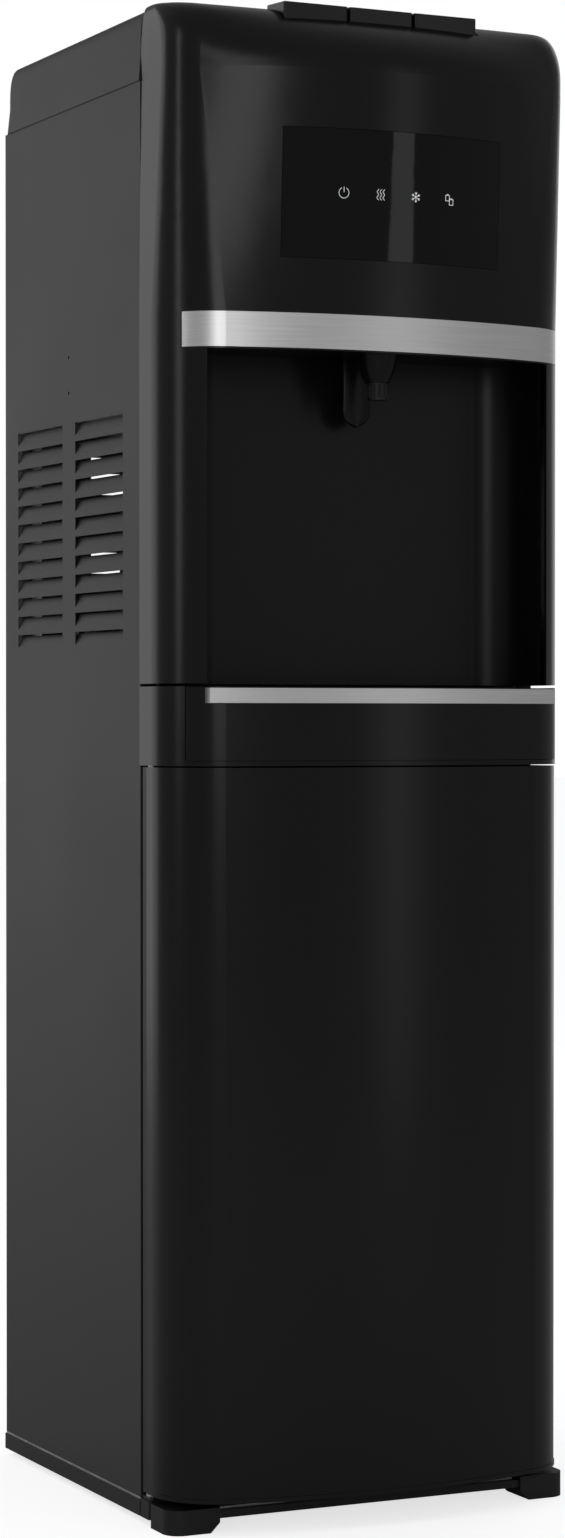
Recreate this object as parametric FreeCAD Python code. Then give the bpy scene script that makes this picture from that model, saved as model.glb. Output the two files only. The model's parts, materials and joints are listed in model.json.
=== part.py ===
import FreeCAD, Part
import math
import os

# Floor-standing bottom-loading water dispenser.
# Millimetres. +Z up, the front faces -Y, +X is to the right seen from the front.
# Origin: on the floor, in the middle of the footprint.

V = FreeCAD.Vector
OVER = 1.0               # cutting shapes run this far past the faces they cut

# ---------------------------------------------------------------- overall sizes
WIDTH = 312.0            # over the moulded front and the lid
DEPTH = 357.0            # front of the fascia to the back edge of the lid
HEIGHT = 1055.0          # floor to the tops of the buttons

# ---------------------------------------------------------------- front outline in plan
CROWN = 84.0             # how far the front stands ahead of the casing seam
CORNER_R = 48.0          # large vertical corner of the moulded front
CORNER_START = 21.5      # straight side length before the corner begins
FASCIA_LEAN = 12.0       # extra forward lean of the fascia at its top
TOP_CORNER_R = 30.0      # corner of the fascia where its top rounding begins
TOP_CORNER_START = 36.0
ROUND_H = 50.0           # height of the rounded top of the fascia
ROUND_D = 84.0           # how far that rounding runs back

# ---------------------------------------------------------------- heights
BASE_TOP = 17.7          # seam between base and side panels
SKIRT_DROP = 13.0        # visible height of the base skirt
DOOR_LIFT = 5.0          # gap between base and door
LID_HEIGHT = 48.6
LID_STEP = 3.0           # lid top below the fascia top
LID_ROUND = 30.0         # drafted and rounded part of the lid's edge
BUTTON_RISE = 0.7        # the buttons' back edges stand this much above the fascia
BUTTON_SLOPE = 2.0       # fall of the button tops towards the front
BAND_DROP = 216.6        # fascia top down to the silver band
BAND_HEIGHT = 24.0
NICHE_HEIGHT = 229.5     # band bottom down to the fascia's lower edge
TRAY_GAP = 2.0           # shadow gap under the fascia
FRAME_HEIGHT = 54.6      # lower front frame that holds the drip tray
DOOR_GAP = 1.2

# ---------------------------------------------------------------- walls and clearances
SHEET = 0.8              # painted sheet steel
SHELL = 2.6              # moulded front parts
OVERHANG = 0.8           # lid and moulded front stand this far outside the sheet steel
FLANGE = 12.0            # return flanges of the side panels
PANEL_GAP = 0.2          # inner pieces to the side panels
PLATE = 1.5              # base pan and steel shelves
PLAY = 0.4               # gap beside sliding pieces
RUNNING = 0.05           # radial clearance of pins in their bushes
REAR_RECESS = 24.0       # back panel sits this far inside the casing

# ---------------------------------------------------------------- base and feet
SKIRT_T = 2.0
PLINTH_D = 17.0          # front to back size of the moulded ends beside the door's foot
TONGUE_SHORT = 7.0       # pan's front tongue stops this far behind the feet's fronts
TONGUE_LAP = 12.0        # and laps this far under the pan
FOOT_GAP = 3.0           # tongue to the front feet
FOOT_CORNER_R = 12.0
FOOT_BEVEL = 7.0         # sloped inner edge under a front foot
BEAM_BACK = 2.0          # cross beam behind the feet's fronts
BEAM_D = 22.0
BEAM_T = 5.4
REAR_FOOT_IN = 48.0      # centre of a rear foot, in from the side
REAR_FOOT_AHEAD = 42.0   # and ahead of the casing's back edge
REAR_FOOT_R = 16.0
REAR_FOOT_BASE_R = 13.0
REAR_FOOT_NECK_R = 9.0
REAR_FOOT_NECK = 4.0
SMALL_R = 2.0            # small moulded corners

# ---------------------------------------------------------------- front details
PILLAR = 23.5            # width of fascia beside the niche
NICHE_DEPTH_FROM_SEAM = 7.5
CEILING_RISE = 0.5       # bay's ceiling above the band's lower edge
NICHE_CORNER_R = 30.0
WINDOW_W = 168.0
WINDOW_H = 88.2
WINDOW_DROP = 90.6       # fascia top down to the window
WINDOW_T = 2.0
BUTTON_W = 48.8
BUTTON_GAP = 1.6
BUTTON_DEPTH = 29.0
BUTTON_FRONT = 64.0      # ahead of the seam
BUTTON_TALL = 26.0
BUTTON_TRAVEL = 4.0
STEM_R = 3.0
TRAY_SIDE = 11.5         # frame post width beside the tray
TRAY_PROUD = 1.0
RAIL = 3.4               # bottom rail of the frame
BAR_HEIGHT = 10.3
BAR_SIDE = 21.8
BAR_PROUD = 9.7          # the bar's ends stand this far off the tray front
BAR_MIDDLE = 1.4         # and its middle this far
BAR_DROP = 1.2           # frame's top down to the bar
BAR_FIT = 0.02           # bar to the tray's front
DOOR_SKIN = 2.5
DOOR_INSET = 0.6         # door face behind its bottom rim
DOOR_RIM = 3.0           # height of the door skin's top and bottom returns
DOOR_THICK = 14.0
HINGE_R = 2.5
BOSS_WALL = 3.0          # wall of the door bushes, towards the seam
HINGE_SIDE = 3.5         # pin to the side of the front
FOOT_W = 38.0
FOOT_D = 32.5
FOOT_AHEAD = 52.0        # front of the front feet, ahead of the seam
NOZZLE_AHEAD = 57.0
NOZZLE_TOP_W = 30.0
OUTLET_R = 7.0
OUTLET_WALL = 2.4        # wall of the outlet's neck
OUTLET_LENGTH = 12.0
OUTLET_STEP = 1.6        # neck inside the barrel
NECK_GAP = 0.1           # neck to the nozzle's bore
NECK_SHORT = 8.0         # ceiling down to the neck's top
NOZZLE_LIP = 1.6         # nozzle's lower edge beyond the outlet
NOZZLE_TAPER = ((1.0, 1.0), (0.55, 0.6875), (0.2, 0.3125), (0.0, 0.0))   # height, widening
NOZZLE_H = 20.0
FLUTES = 12
FLUTE_R = 0.9
FLUTE_END = 1.5          # plain barrel at each end of the flutes
PADDLE_W = 21.0
PADDLE_AHEAD = 25.0
PADDLE_T = 3.0
PADDLE_PIN_R = 1.5

LINER_T = 2.0            # wall of the dispensing bay's liner
NICHE_MOUTH = 54.0       # liner's front edges, ahead of the seam
NICHE_LINTEL = 1.2       # fascia left between the band and the opening under it
WINDOW_GAP = 0.3
WINDOW_SEAT = 6.0        # ledge of the fascia behind the window's edge
BAND_END = 9.9           # the band's ends, in from the side
BAND_GAP = 0.3
BAND_PROUD = 0.5
BAND_SEAT = 1.5          # depth of the band behind the fascia's face
WELL_GAP_X = 1.4         # button bank to the sides of its well
WELL_GAP_Y = 1.2
WELL_DEPTH = 36.0

# ---------------------------------------------------------------- buttons, springs and valves
CAP_WALL = 2.0
CAP_ROOF = 2.2
CAP_CORNER_R = 1.5
CAP_EDGE_R = 0.7
STEM_BELOW = 8.0         # stem end, below the guide's floor
GUIDE_DROP = 38.0        # fascia top down to the guide's floor
GUIDE_TALL = 18.0
GUIDE_T = 2.5
GUIDE_WALL = 2.0
GUIDE_SIDE = 6.0         # guide beyond the well at each side
GUIDE_FRONT = 3.0        # guide behind the well's front
GUIDE_REAR = 5.0         # and beyond the well's back
GUIDE_OPEN = 20.0        # floor ahead of the guide's side walls
SPRING_WIRE_R = 0.4
SPRING_TURNS = 6
SPRING_END = 0.1         # free space at each end of a spring
SPRING_CLEAR = 1.2       # stem to the middle of the wire
VALVE_R = 9.0
VALVE_H = 20.0
VALVE_STEM_R = 4.0
VALVE_STEM = 6.0
VALVE_CLEAR = 1.5        # pressed stem to the valve
PORT_R = 3.5
PORT_LENGTH = 16.0
PORT_RISE = 8.0
MANIFOLD_RISE = 8.0      # manifold above the band's top
MANIFOLD_H = 12.0
MANIFOLD_HALF_D = 7.0
MANIFOLD_END = 8.0       # block beyond the outer tubes
SPOUT_WALL = 1.0         # spout block beyond the drop tube
TUBE_R = 4.0
DROP_GAP = 0.5           # drop tube to the nozzle's bore
TUBE_SEAT = 4.0          # how far the drop tube reaches into the nozzle
CEILING_GAP = 1.0        # drop tube to its hole in the bay's ceiling

# ---------------------------------------------------------------- paddle
PADDLE_RISE = 10.0       # pivot above the bay's ceiling
PADDLE_DROP = 48.0       # paddle's end below the band
PADDLE_RIB = 2.0
PADDLE_RIB_D = 7.0
PADDLE_HUB_R = 4.0
EAR_T = 3.0
EAR_GAP = 2.0
EAR_HALF = 5.0
SLOT_SIDE = 1.5
SLOT_AHEAD = 6.0
SLOT_BEHIND = 9.0

# ---------------------------------------------------------------- display
BOARD_W = 132.0
BOARD_T = 1.6
BOARD_BEHIND = 14.0
BOARD_EDGE = 12.0        # window's edge to the board's edge
LAMP_R = 2.5
LAMP_TALL = 3.0
LAMP_DROP = 43.3         # window's top down to the lamps
LAMP_PITCH = 27.2
LAMPS = 4

# ---------------------------------------------------------------- drip tray
GRILLE_T = 2.5
GRILLE_DROP = 1.4        # frame's top down to the grille's top
GRILLE_SLOTS = 25
GRILLE_PITCH = 9.4
GRILLE_SLOT_W = 4.6
GRILLE_REAR = 10.5       # niche's back to the slots' ends
GRILLE_FRONT = 56.0      # slots' front ends, ahead of the seam
GRILLE_SIDE = 3.0        # grille inside the tub's plan
GRILLE_BEHIND_FRONT = 6.0
GRILLE_LEG = (4.0, 1.0, 10.0)    # width, thickness, drop
GRILLE_LEGS = (-9, 0, 9)         # slots that have a leg behind them
GRILLE_LEG_GAP = 2.1     # slots' ends to the legs
TRAY_WALL = 5.0
TRAY_FLOOR = 2.0
TRAY_LIFT = 0.3          # tray above the frame's bottom rail
TRAY_TOP_GAP = 0.4       # frame's top down to the tray's
TUB_SHRINK = 2.0         # tub to the liner
FRONT_WALL = 3.0
TUB_BEHIND_FRONT = 2.9
TUB_FRONT_WALL = 5.1

# ---------------------------------------------------------------- door
LINER_BEHIND = 11.0      # seam to the joint between door skin and liner
DOOR_SEAM_GAP = 2.5      # casing seam to the door's rear face
DOOR_EDGE_R = 3.0
PAN_WALL = 2.0
RETURN_SHORT = 2.2       # skin's returns stop short of the liner's pan by this
BUSH_LENGTH = 22.0
BUSH_BORE = 17.0
PIN_REACH = 15.0
PIN_SEAT = 3.0
MAGNET = (6.0, 1.9, 40.0)
MAGNET_IN = 9.0
MAGNET_LOW = 80.0        # door's bottom up to the lower magnet
MAGNET_HIGH = 120.0      # door's top down to the foot of the upper one
BRACKET_W = 32.5
BRACKET_D = 15.4
BRACKET_T = 2.0
WASHER_RIM = 1.6         # washer beyond the hinge pin
BRACKET_IN = 1.5         # bracket in from the side
BRACKET_BACK = 0.6       # bracket ahead of the seam

# ---------------------------------------------------------------- bottle cabinet
LINING_T = 1.8
LINING_GAP = 0.4         # side linings inside the panels' flanges
LINING_BEHIND = 2.5      # back lining to the back panel
LINING_CLEAR = 2.0       # side linings to the back lining
PLATFORM_OVER_RIM = 0.5  # platform above the door's bottom rim, so that the bottle clears it
SKID_IN = 30.8           # outer skids, in from the platform's sides
SKID_W = 10.0
PLATFORM_T = 3.8
RIB_X = 60.0
RIB_W = 6.0
RIB_TALL = 2.0
RIB_SHORT = 20.0
SHELF_LIP = 14.0
SHELF_RISE = 4.0         # shelf above the top of the front frame
SHELF_BACK = 2.0         # shelves behind the seam
HOSE_HOLE_GAP = 2.5      # hose to its hole in the shelf
PROBE_WALL = 4.0         # probe beyond its hose bore
HOSE_GAP = 0.1           # hose in that bore
CAP_R = 23.5             # cap that seats on the bottle's neck
PROBE_CLEAR = 1.5
PROBE_DROP = 70.0        # shelf down to the parked cap
PROBE_LENGTH = 330.0
PROBE_TIP = 12.0
PROBE_TIP_R = 5.0
CAP_H = 16.0
CAP_SHELL = 2.2
HOSE_R = 5.0
HOSE_WALL = 1.5
HOSE_IN_PROBE = 20.0     # hose inside the probe
HOSE_OUT = 8.0           # hose above the shelf, in the pump's port
CLIP_H = 10.0
CLIP_WALL = 3.0
CLIP_GAP = 0.3
CLIP_MOUTH = 5.5
CLIP_REACH = 4.0         # fingers' ends ahead of the probe's axis
CLIP_STALK = 4.0
CLIP_DROPS = (60.0, 260.0)

# ---------------------------------------------------------------- tanks and compressor
COLD_SIDE = 11.2         # foam to the side panel
COLD_R = 52.0
COLD_H = 190.0
FOAM = 16.0
FOAM_CORNER_R = 18.0
HOT_SIDE = 16.2          # jacket to the side panel
HOT_R = 42.0
HOT_H = 170.0
JACKET = 14.0
TANKS_BEHIND = 72.0      # tank centres behind the seam
TANK_RISE = 190.0        # tank shelf above the compressor's shelf
TANK_WALL = 1.2
TANK_END = 9.0           # extra thickness of the domed ends
TANK_EDGE_R = 10.0
TANK_GAP = 0.3
DRAIN_PIPE_R = 5.0
SHELF_HOLE_SHRINK = 6.0
LEG_T = 3.0
LEG_D = 20.0
LEG_CLEAR = 5.0
COMPRESSOR_R = 58.0
COMPRESSOR_H = 132.0
COMPRESSOR_SIDE = 26.2   # can to the side panel
COMPRESSOR_BEHIND = 90.0
COMPRESSOR_WALL = 3.0
COMPRESSOR_DOME = 30.0
COMPRESSOR_EDGE_R = 26.0
COMPRESSOR_FOOT = (62.0, 40.0, 3.0)
RELAY_BOX = (22.0, 20.0, 50.0)
RELAY_RISE = 46.0
RELAY_LAP = 6.0
MOUNT_R = 8.0
MOUNT_H = 12.0
MOUNT_SPREAD = (52.0, 32.0)

# ---------------------------------------------------------------- pump, condenser and board
PUMP_BASE = (40.0, 90.0, 20.0, 9.0)      # start, end, half width, height
PUMP_MOTOR = (33.0, 96.0, 17.0, 24.0)    # start, end, radius, centre height
PUMP_HEAD = (8.0, 34.0, 16.0, 8.0, 42.0)  # start, end, half width, bottom, top
PUMP_PORT = (-7.0, 10.0, 7.0, 8.0, 24.0)
PUMP_AHEAD = 4.0
CONDENSER_BEHIND = 11.0  # tube centres behind the back panel
CONDENSER_HALF = 112.0
CONDENSER_ROWS = 14
CONDENSER_PITCH = 27.0
CONDENSER_RISE = 130.0
CONDENSER_TUBE_R = 2.4
WIRE_OUT = 0.3           # middle of a wire beyond the tube's surface
WIRE_R = 0.8
WIRES = 19
WIRE_PITCH = 12.0
WIRE_PAST = 10.0
CLIP_IN = 10.0           # clips in from the bends of the condenser
CLIP_SIZE = (3.0, 14.0, 6.0)
CLIP_NOTCH = (8.5, 2.5)
CONTROL_W = 90.0
CONTROL_H = 60.0
CONTROL_IN = 24.0
CONTROL_RISE = 190.0
RELAYS = 3
RELAY_PITCH = 28.0
RELAY_SIZE = (18.0, 15.0, 16.0)
RELAY_START = (6.0, 10.0)        # first relay, in from the board's lower corner
HEATSINK = (40.0, 18.0, 18.0)
HEATSINK_START = (30.0, 36.0)
POST = (8.0, 4.0, 6.0)           # in from the board's side, rise, thickness

# ---------------------------------------------------------------- rear fittings
VENT_ROWS = 10
VENT_PITCH = 12.0
VENT_W = 80.0
VENT_H = 4.0
VENT_LOWER = 20.0        # first rear vent below the first side louvre
VENT_STARTS = (-95.0, 15.0)
SWITCH_IN = 75.0         # plate's centre, in from the side panel
SWITCH_DROP = 60.0       # and below the lid
PANEL_HOLE_GAP = 0.5     # fittings to their holes in the back panel
PLATE_RIM = 4.5          # switch plate beyond its well
WELL_END = 3.6           # outer ears to the well's inner side
WELL_HALF_H = 14.5
PLATE_T = 2.5
PLATE_R = 0.4
SWITCH_WALL = 1.5
SWITCH_DEPTH = 16.0
ROCKER_SPACE = 7.2       # rocker to the middle of the plate
ROCKER_W = 19.6
ROCKER_PIN_R = 1.5
ROCKER_IN = 5.0          # pin ahead of the back panel
ROCKER_GAP = 1.0         # rocker to its ears
EAR_THIN = 1.6
EAR_TALL = 4.0
ROCKER_PROFILE = ((-3.5, -9.8), (5.2, -10.6), (7.6, 0.0), (9.2, 8.8), (-1.5, 9.0), (-4.5, 3.0))
DRAIN_IN = 62.2          # spigot in from the side panel
DRAIN_RISE = 45.0
DRAIN_R = 7.0
DRAIN_WALL = 2.5
DRAIN_HOLE_GAP = 2.5     # spigot to its hole
DRAIN_INSIDE = 30.0
DRAIN_OUT = 14.0
COLLAR_RIM = 5.5         # collar beyond the spigot
COLLAR_T = 3.0
DRAIN_CAP_WALL = 4.0
DRAIN_CAP_L = 13.5
DRAIN_CAP_DEPTH = 11.2
CAP_STANDOFF = 0.4
GRIPS = 10
GRIP_R = 1.1
GRIP_OUT = 0.2           # middle of a grip notch beyond the cap
GRIP_START = 2.0
CORD_IN = 42.2           # bush in from the side panel
CORD_RISE = 40.0
CORD_BORE_R = 4.0
GLAND_WALL = 4.0
GLAND_L = 12.0
BUSH_NECK = (14.5, 10.5, 8.0)    # half width, half height, length inside the panel
BUSH_FLANGE = (3.5, 3.0)         # rim beyond the neck, thickness
BUSH_EDGE_R = 1.0
SCREW_R = 3.4
SCREW_T = 1.8
SCREW_IN = 8.0
SCREW_ENDS = 30.0
SCREWS = 5

# ---------------------------------------------------------------- louvres
LOUVRE_ROWS = 12
LOUVRE_PITCH = 13.8
LOUVRE_H = 9.5
LOUVRE_PUSH = 3.6
LOUVRE_DROP = 279.4      # fascia top down to the first row
LOUVRE_FRONT = 31.2      # seam to the front column
LOUVRE_BETWEEN = 24.6    # between the two columns
LOUVRE_REAR = 26.4       # rear column to the casing's back
LOUVRE_LAP = 0.2         # blade's root below its cut
LOUVRE_SHORT = 1.0       # blade's tip below the top of its cut
SIGHT_HOLE_R = 1.3
SIGHT_HOLE_RISES = (22.0, 48.0)
LID_CORNER_R = 9.0
LID_SEAM_GAP = 0.7

# ---------------------------------------------------------------- places worked out from the sizes
HALF = WIDTH / 2
BACK = DEPTH / 2
BULGE = CROWN + FASCIA_LEAN
SEAM = -DEPTH / 2 + BULGE
TOP = HEIGHT - BUTTON_RISE
LID_TOP = TOP - LID_STEP
LID_BOTTOM = LID_TOP - LID_HEIGHT
BAND_TOP = TOP - BAND_DROP
BAND_BOTTOM = BAND_TOP - BAND_HEIGHT
FASCIA_BOTTOM = BAND_BOTTOM - NICHE_HEIGHT
FRAME_TOP = FASCIA_BOTTOM - TRAY_GAP
FRAME_BOTTOM = FRAME_TOP - FRAME_HEIGHT
DOOR_TOP = FRAME_BOTTOM - DOOR_GAP
DOOR_BOTTOM = BASE_TOP + DOOR_LIFT
SKIRT_BOTTOM = BASE_TOP - SKIRT_DROP
SIDE_X = HALF - OVERHANG
CASE_BACK = BACK - OVERHANG
REAR_Y = CASE_BACK - REAR_RECESS
SHELF_Z = FRAME_TOP + SHELF_RISE
NICHE_BACK = SEAM - NICHE_DEPTH_FROM_SEAM
NICHE_HALF = HALF - PILLAR
HINGE_X = -HALF + HINGE_R + HINGE_SIDE
HINGE_Y = SEAM - DOOR_SEAM_GAP - BOSS_WALL - HINGE_R
INSIDE_X = SIDE_X - SHEET - PANEL_GAP
BUTTON_Y = SEAM - BUTTON_FRONT + BUTTON_DEPTH / 2
BUTTON_BANK = 3 * BUTTON_W + 2 * BUTTON_GAP
BUTTON_CEILING = HEIGHT - BUTTON_SLOPE - CAP_ROOF
WELL_X = BUTTON_BANK / 2 + WELL_GAP_X
WELL_FRONT = SEAM - BUTTON_FRONT - WELL_GAP_Y
WELL_BACK = SEAM - BUTTON_FRONT + BUTTON_DEPTH + WELL_GAP_Y
GUIDE_FLOOR = TOP - GUIDE_DROP
GUIDE_TOP = GUIDE_FLOOR + GUIDE_TALL
VALVE_TOP = GUIDE_FLOOR - STEM_BELOW - BUTTON_TRAVEL - VALVE_CLEAR
WINDOW_TOP = TOP - WINDOW_DROP
WINDOW_BOTTOM = WINDOW_TOP - WINDOW_H
NICHE_CEILING = BAND_BOTTOM + CEILING_RISE
NOZZLE_Y = SEAM - NOZZLE_AHEAD
NOZZLE_BOTTOM = NICHE_CEILING - NOZZLE_H
OUTLET_NECK_R = OUTLET_R - OUTLET_STEP
NOZZLE_BORE_R = OUTLET_NECK_R + NECK_GAP
DROP_TUBE_R = NOZZLE_BORE_R - DROP_GAP
SPOUT_HALF = DROP_TUBE_R + SPOUT_WALL
PADDLE_Y = SEAM - PADDLE_AHEAD
PIVOT_Z = NICHE_CEILING + PADDLE_RISE
PADDLE_END = BAND_BOTTOM - PADDLE_DROP
TRAY_X = HALF - TRAY_SIDE
TRAY_BOTTOM = FRAME_BOTTOM + RAIL
GRILLE_TOP = FRAME_TOP - GRILLE_DROP
TUB_TOP = GRILLE_TOP - GRILLE_T
LINER_X = SIDE_X - FLANGE - LINING_GAP
PLATFORM_TOP = DOOR_BOTTOM + DOOR_THICK + PLATFORM_OVER_RIM
CABINET_BACK = REAR_Y - LINING_BEHIND
PROBE_R = HOSE_R + PROBE_WALL
PROBE_X = -(LINER_X - LINING_T - CAP_R - PROBE_CLEAR)
PROBE_Y = CABINET_BACK - LINING_T - CAP_R - PROBE_CLEAR
PROBE_CAP_Z = SHELF_Z - PROBE_DROP
SHELF_TOP = SHELF_Z + PLATE
TANK_Z = SHELF_Z + TANK_RISE
TANKS_Y = SEAM + TANKS_BEHIND
COLD_X = -(INSIDE_X - COLD_SIDE - FOAM - COLD_R)
HOT_X = INSIDE_X - HOT_SIDE - JACKET - HOT_R
COMPRESSOR_X = -(INSIDE_X - COMPRESSOR_SIDE - COMPRESSOR_R)
COMPRESSOR_Y = SEAM + COMPRESSOR_BEHIND
COMPRESSOR_Z = SHELF_TOP + MOUNT_H
REAR_FACE = REAR_Y + SHEET
CONDENSER_Z = BASE_TOP + CONDENSER_RISE
SWITCH_X = -INSIDE_X + SWITCH_IN
SWITCH_Z = LID_BOTTOM - SWITCH_DROP
ROCKER_Y = REAR_Y - ROCKER_IN
ROCKER_OFF = ROCKER_W / 2 + ROCKER_SPACE
ROCKER_EAR = ROCKER_W / 2 + ROCKER_GAP + EAR_THIN / 2
WELL_HALF_W = ROCKER_OFF + ROCKER_EAR + EAR_THIN / 2 + WELL_END + SWITCH_WALL
DRAIN_X = INSIDE_X - DRAIN_IN
DRAIN_Z = SHELF_Z + DRAIN_RISE
DRAIN_CAP_R = DRAIN_R + DRAIN_CAP_WALL
CORD_X = -INSIDE_X + CORD_IN
CORD_Z = SHELF_Z + CORD_RISE
LOUVRE_W = (CASE_BACK - SEAM - LOUVRE_FRONT - LOUVRE_BETWEEN - LOUVRE_REAR) / 2
LOUVRE_COLUMNS = (LOUVRE_FRONT, LOUVRE_FRONT + LOUVRE_W + LOUVRE_BETWEEN)


def box(x0, x1, y0, y1, z0, z1):
    return Part.makeBox(x1 - x0, y1 - y0, z1 - z0, V(x0, y0, z0))


def rod(r, x, y, z0, z1):
    return Part.makeCylinder(r, z1 - z0, V(x, y, z0), V(0, 0, 1))


def rod_x(r, x0, x1, y, z):
    return Part.makeCylinder(r, x1 - x0, V(x0, y, z), V(1, 0, 0))


def rod_y(r, y0, y1, x, z):
    return Part.makeCylinder(r, y1 - y0, V(x, y0, z), V(0, 1, 0))


def fuse(shapes):
    whole = shapes[0]
    if len(shapes) > 1:
        whole = whole.multiFuse(shapes[1:])
    return whole.removeSplitter()


def group(shapes):
    return Part.makeCompound(shapes)


def mirror_x(shape):
    return shape.mirror(V(0, 0, 0), V(1, 0, 0))


def rounded_box(x0, x1, y0, y1, z0, z1, r):
    """A box with its four upright edges rounded."""
    body = box(x0, x1, y0, y1, z0, z1)
    upright = [e for e in body.Edges if abs(e.Vertexes[0].Z - e.Vertexes[1].Z) > 0.5 * (z1 - z0)]
    return body.makeFillet(r, upright)


STRAIGHT = (CROWN, CORNER_R, CORNER_START, 0.0)


def outline(z, inset=0.0, plan=STRAIGHT, back=0.0):
    """Plan wire of the moulded front: straight sides, large corners and a shallow front arc.

    A plan is its crown, corner radius, corner start and side inset.
    """
    crown, corner_r, corner_start, side = plan
    half = HALF - side - inset
    r = corner_r - inset
    start = SEAM - corner_start
    front = SEAM - crown + inset
    dx = half - r
    d = start - front
    big = (dx * dx + d * d - r * r) / (2 * (d - r))
    centre = V(0, front + big, z)
    corner = V(dx, start, z)
    away = (corner - centre).normalize()
    join = centre + away * big
    turn = math.atan2(join.y - corner.y, join.x - corner.x) / 2
    bend = corner + V(math.cos(turn), math.sin(turn), 0) * r

    def flip(p):
        return V(-p.x, p.y, p.z)

    rear = SEAM + back
    right = V(half, start, z)
    edges = [
        Part.LineSegment(V(half, rear, z), right).toShape(),
        Part.Arc(right, bend, join).toShape(),
        Part.Arc(join, V(0, front, z), flip(join)).toShape(),
        Part.Arc(flip(join), flip(bend), flip(right)).toShape(),
        Part.LineSegment(flip(right), V(-half, rear, z)).toShape(),
        Part.LineSegment(V(-half, rear, z), V(half, rear, z)).toShape(),
    ]
    return Part.Wire(edges)


def slab(z0, z1, inset=0.0, back=0.0):
    """Upright solid with the front outline as its plan."""
    face = Part.Face(outline(z0, inset, STRAIGHT, back))
    return face.extrude(V(0, 0, z1 - z0))


def curved_wall(z0, z1, outer, inner):
    """Upright curved wall between two insets of the front outline, open at the seam."""
    return slab(z0, z1, outer).cut(slab(z0 - OVER, z1 + OVER, inner, 5.0))


TOP_STEPS = (0, 10, 30, 55, 75, 90)
DRAFT = 1.5              # side draft where the rounded top begins


def top_inset(angle):
    """Side inset of the rounded top at a step of its elliptical section."""
    return DRAFT + 6.0 * (1 - math.cos(math.radians(angle))) ** 1.6


def lean_plan(z):
    """Plan of the leaning fascia at a height between the band and the rounded top."""
    share = (z - BAND_TOP) / (TOP - ROUND_H - BAND_TOP)
    share = min(1.0, max(0.0, share))
    return (CROWN + FASCIA_LEAN * share,
            CORNER_R + (TOP_CORNER_R - CORNER_R) * share,
            CORNER_START + (TOP_CORNER_START - CORNER_START) * share,
            DRAFT * share)


def round_plan(angle):
    """Plan of the rounded top at a step of its elliptical section."""
    crown = BULGE - ROUND_D * (1 - math.cos(math.radians(angle)))
    share = crown / BULGE
    return (crown, TOP_CORNER_R * min(1.0, 1.6 * share),
            TOP_CORNER_START * min(1.0, 1.07 * share), top_inset(angle))


def fascia_block(inset=0.0, back=0.0):
    """Outside form of the fascia, or the same form moved inwards by a wall."""
    lower = slab(FASCIA_BOTTOM - (1 if inset else 0), BAND_TOP, inset, back)
    round_z = TOP - ROUND_H
    low = outline(BAND_TOP, inset, STRAIGHT, back)
    high = outline(round_z, inset, lean_plan(round_z), back)
    middle = Part.makeLoft([low, high], True, True)
    rings = []
    for angle in TOP_STEPS:
        z = round_z + (ROUND_H - inset) * math.sin(math.radians(angle))
        rings.append(outline(z, inset, round_plan(angle), back))
    upper = Part.makeLoft(rings, True, False)
    return fuse([lower, middle, upper])


# ---------------------------------------------------------------- casing
def base_pan():
    """Steel floor, with a tongue one sheet lower that runs forward between the front feet."""
    floor = box(-SIDE_X, SIDE_X, SEAM, CASE_BACK, BASE_TOP - PLATE, BASE_TOP)
    x = HALF - FOOT_W - FOOT_GAP
    tongue = box(-x, x, SEAM - FOOT_AHEAD + TONGUE_SHORT, SEAM + TONGUE_LAP,
                 BASE_TOP - 2 * PLATE, BASE_TOP - PLATE)
    return fuse([floor, tongue])


def base_skirts():
    z0 = SKIRT_BOTTOM
    z1 = BASE_TOP - PLATE
    side = box(-HALF, -HALF + SKIRT_T, SEAM, BACK, z0, z1)
    x = HALF - SKIRT_T - PANEL_GAP
    rear = box(-x, x, BACK - SKIRT_T, BACK, z0, z1)
    return group([side, mirror_x(side), rear])


def front_plinths():
    """Short moulded ends of the base, ahead of the seam, that carry the lower hinge."""
    left = rounded_box(-HALF, -HALF + FOOT_W, SEAM - PLINTH_D, SEAM, SKIRT_BOTTOM, BASE_TOP, SMALL_R)
    return group([left, mirror_x(left)])


def front_feet():
    y0 = SEAM - FOOT_AHEAD
    x0 = -HALF
    x1 = x0 + FOOT_W
    body = box(x0, x1, y0, y0 + FOOT_D, 0, BASE_TOP - 0.5)
    outer = [e for e in body.Edges if abs(e.Vertexes[0].Z - e.Vertexes[1].Z) > 5
             and e.Vertexes[0].X < x0 + 1 and e.Vertexes[0].Y < y0 + 1]
    body = body.makeFillet(FOOT_CORNER_R, outer)
    start = V(x1 - FOOT_BEVEL, y0 - 1, 0)
    under = Part.makePolygon([start, V(x1 + 1, y0 - 1, 0), V(x1 + 1, y0 - 1, FOOT_BEVEL + 1), start])
    body = body.cut(Part.Face(under).extrude(V(0, FOOT_D + 2, 0)))
    return group([body, mirror_x(body)])


def front_cross_beam():
    x = HALF - FOOT_W
    y0 = SEAM - FOOT_AHEAD + BEAM_BACK
    z1 = BASE_TOP - 2 * PLATE
    return box(-x, x, y0, y0 + BEAM_D, z1 - BEAM_T, z1)


def rear_feet():
    x = -HALF + REAR_FOOT_IN
    y = CASE_BACK - REAR_FOOT_AHEAD
    z1 = BASE_TOP - PLATE
    foot = Part.makeCone(REAR_FOOT_BASE_R, REAR_FOOT_R, z1 - REAR_FOOT_NECK, V(x, y, 0), V(0, 0, 1))
    left = fuse([foot, rod(REAR_FOOT_NECK_R, x, y, z1 - REAR_FOOT_NECK, z1)])
    return group([left, mirror_x(left)])


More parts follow.
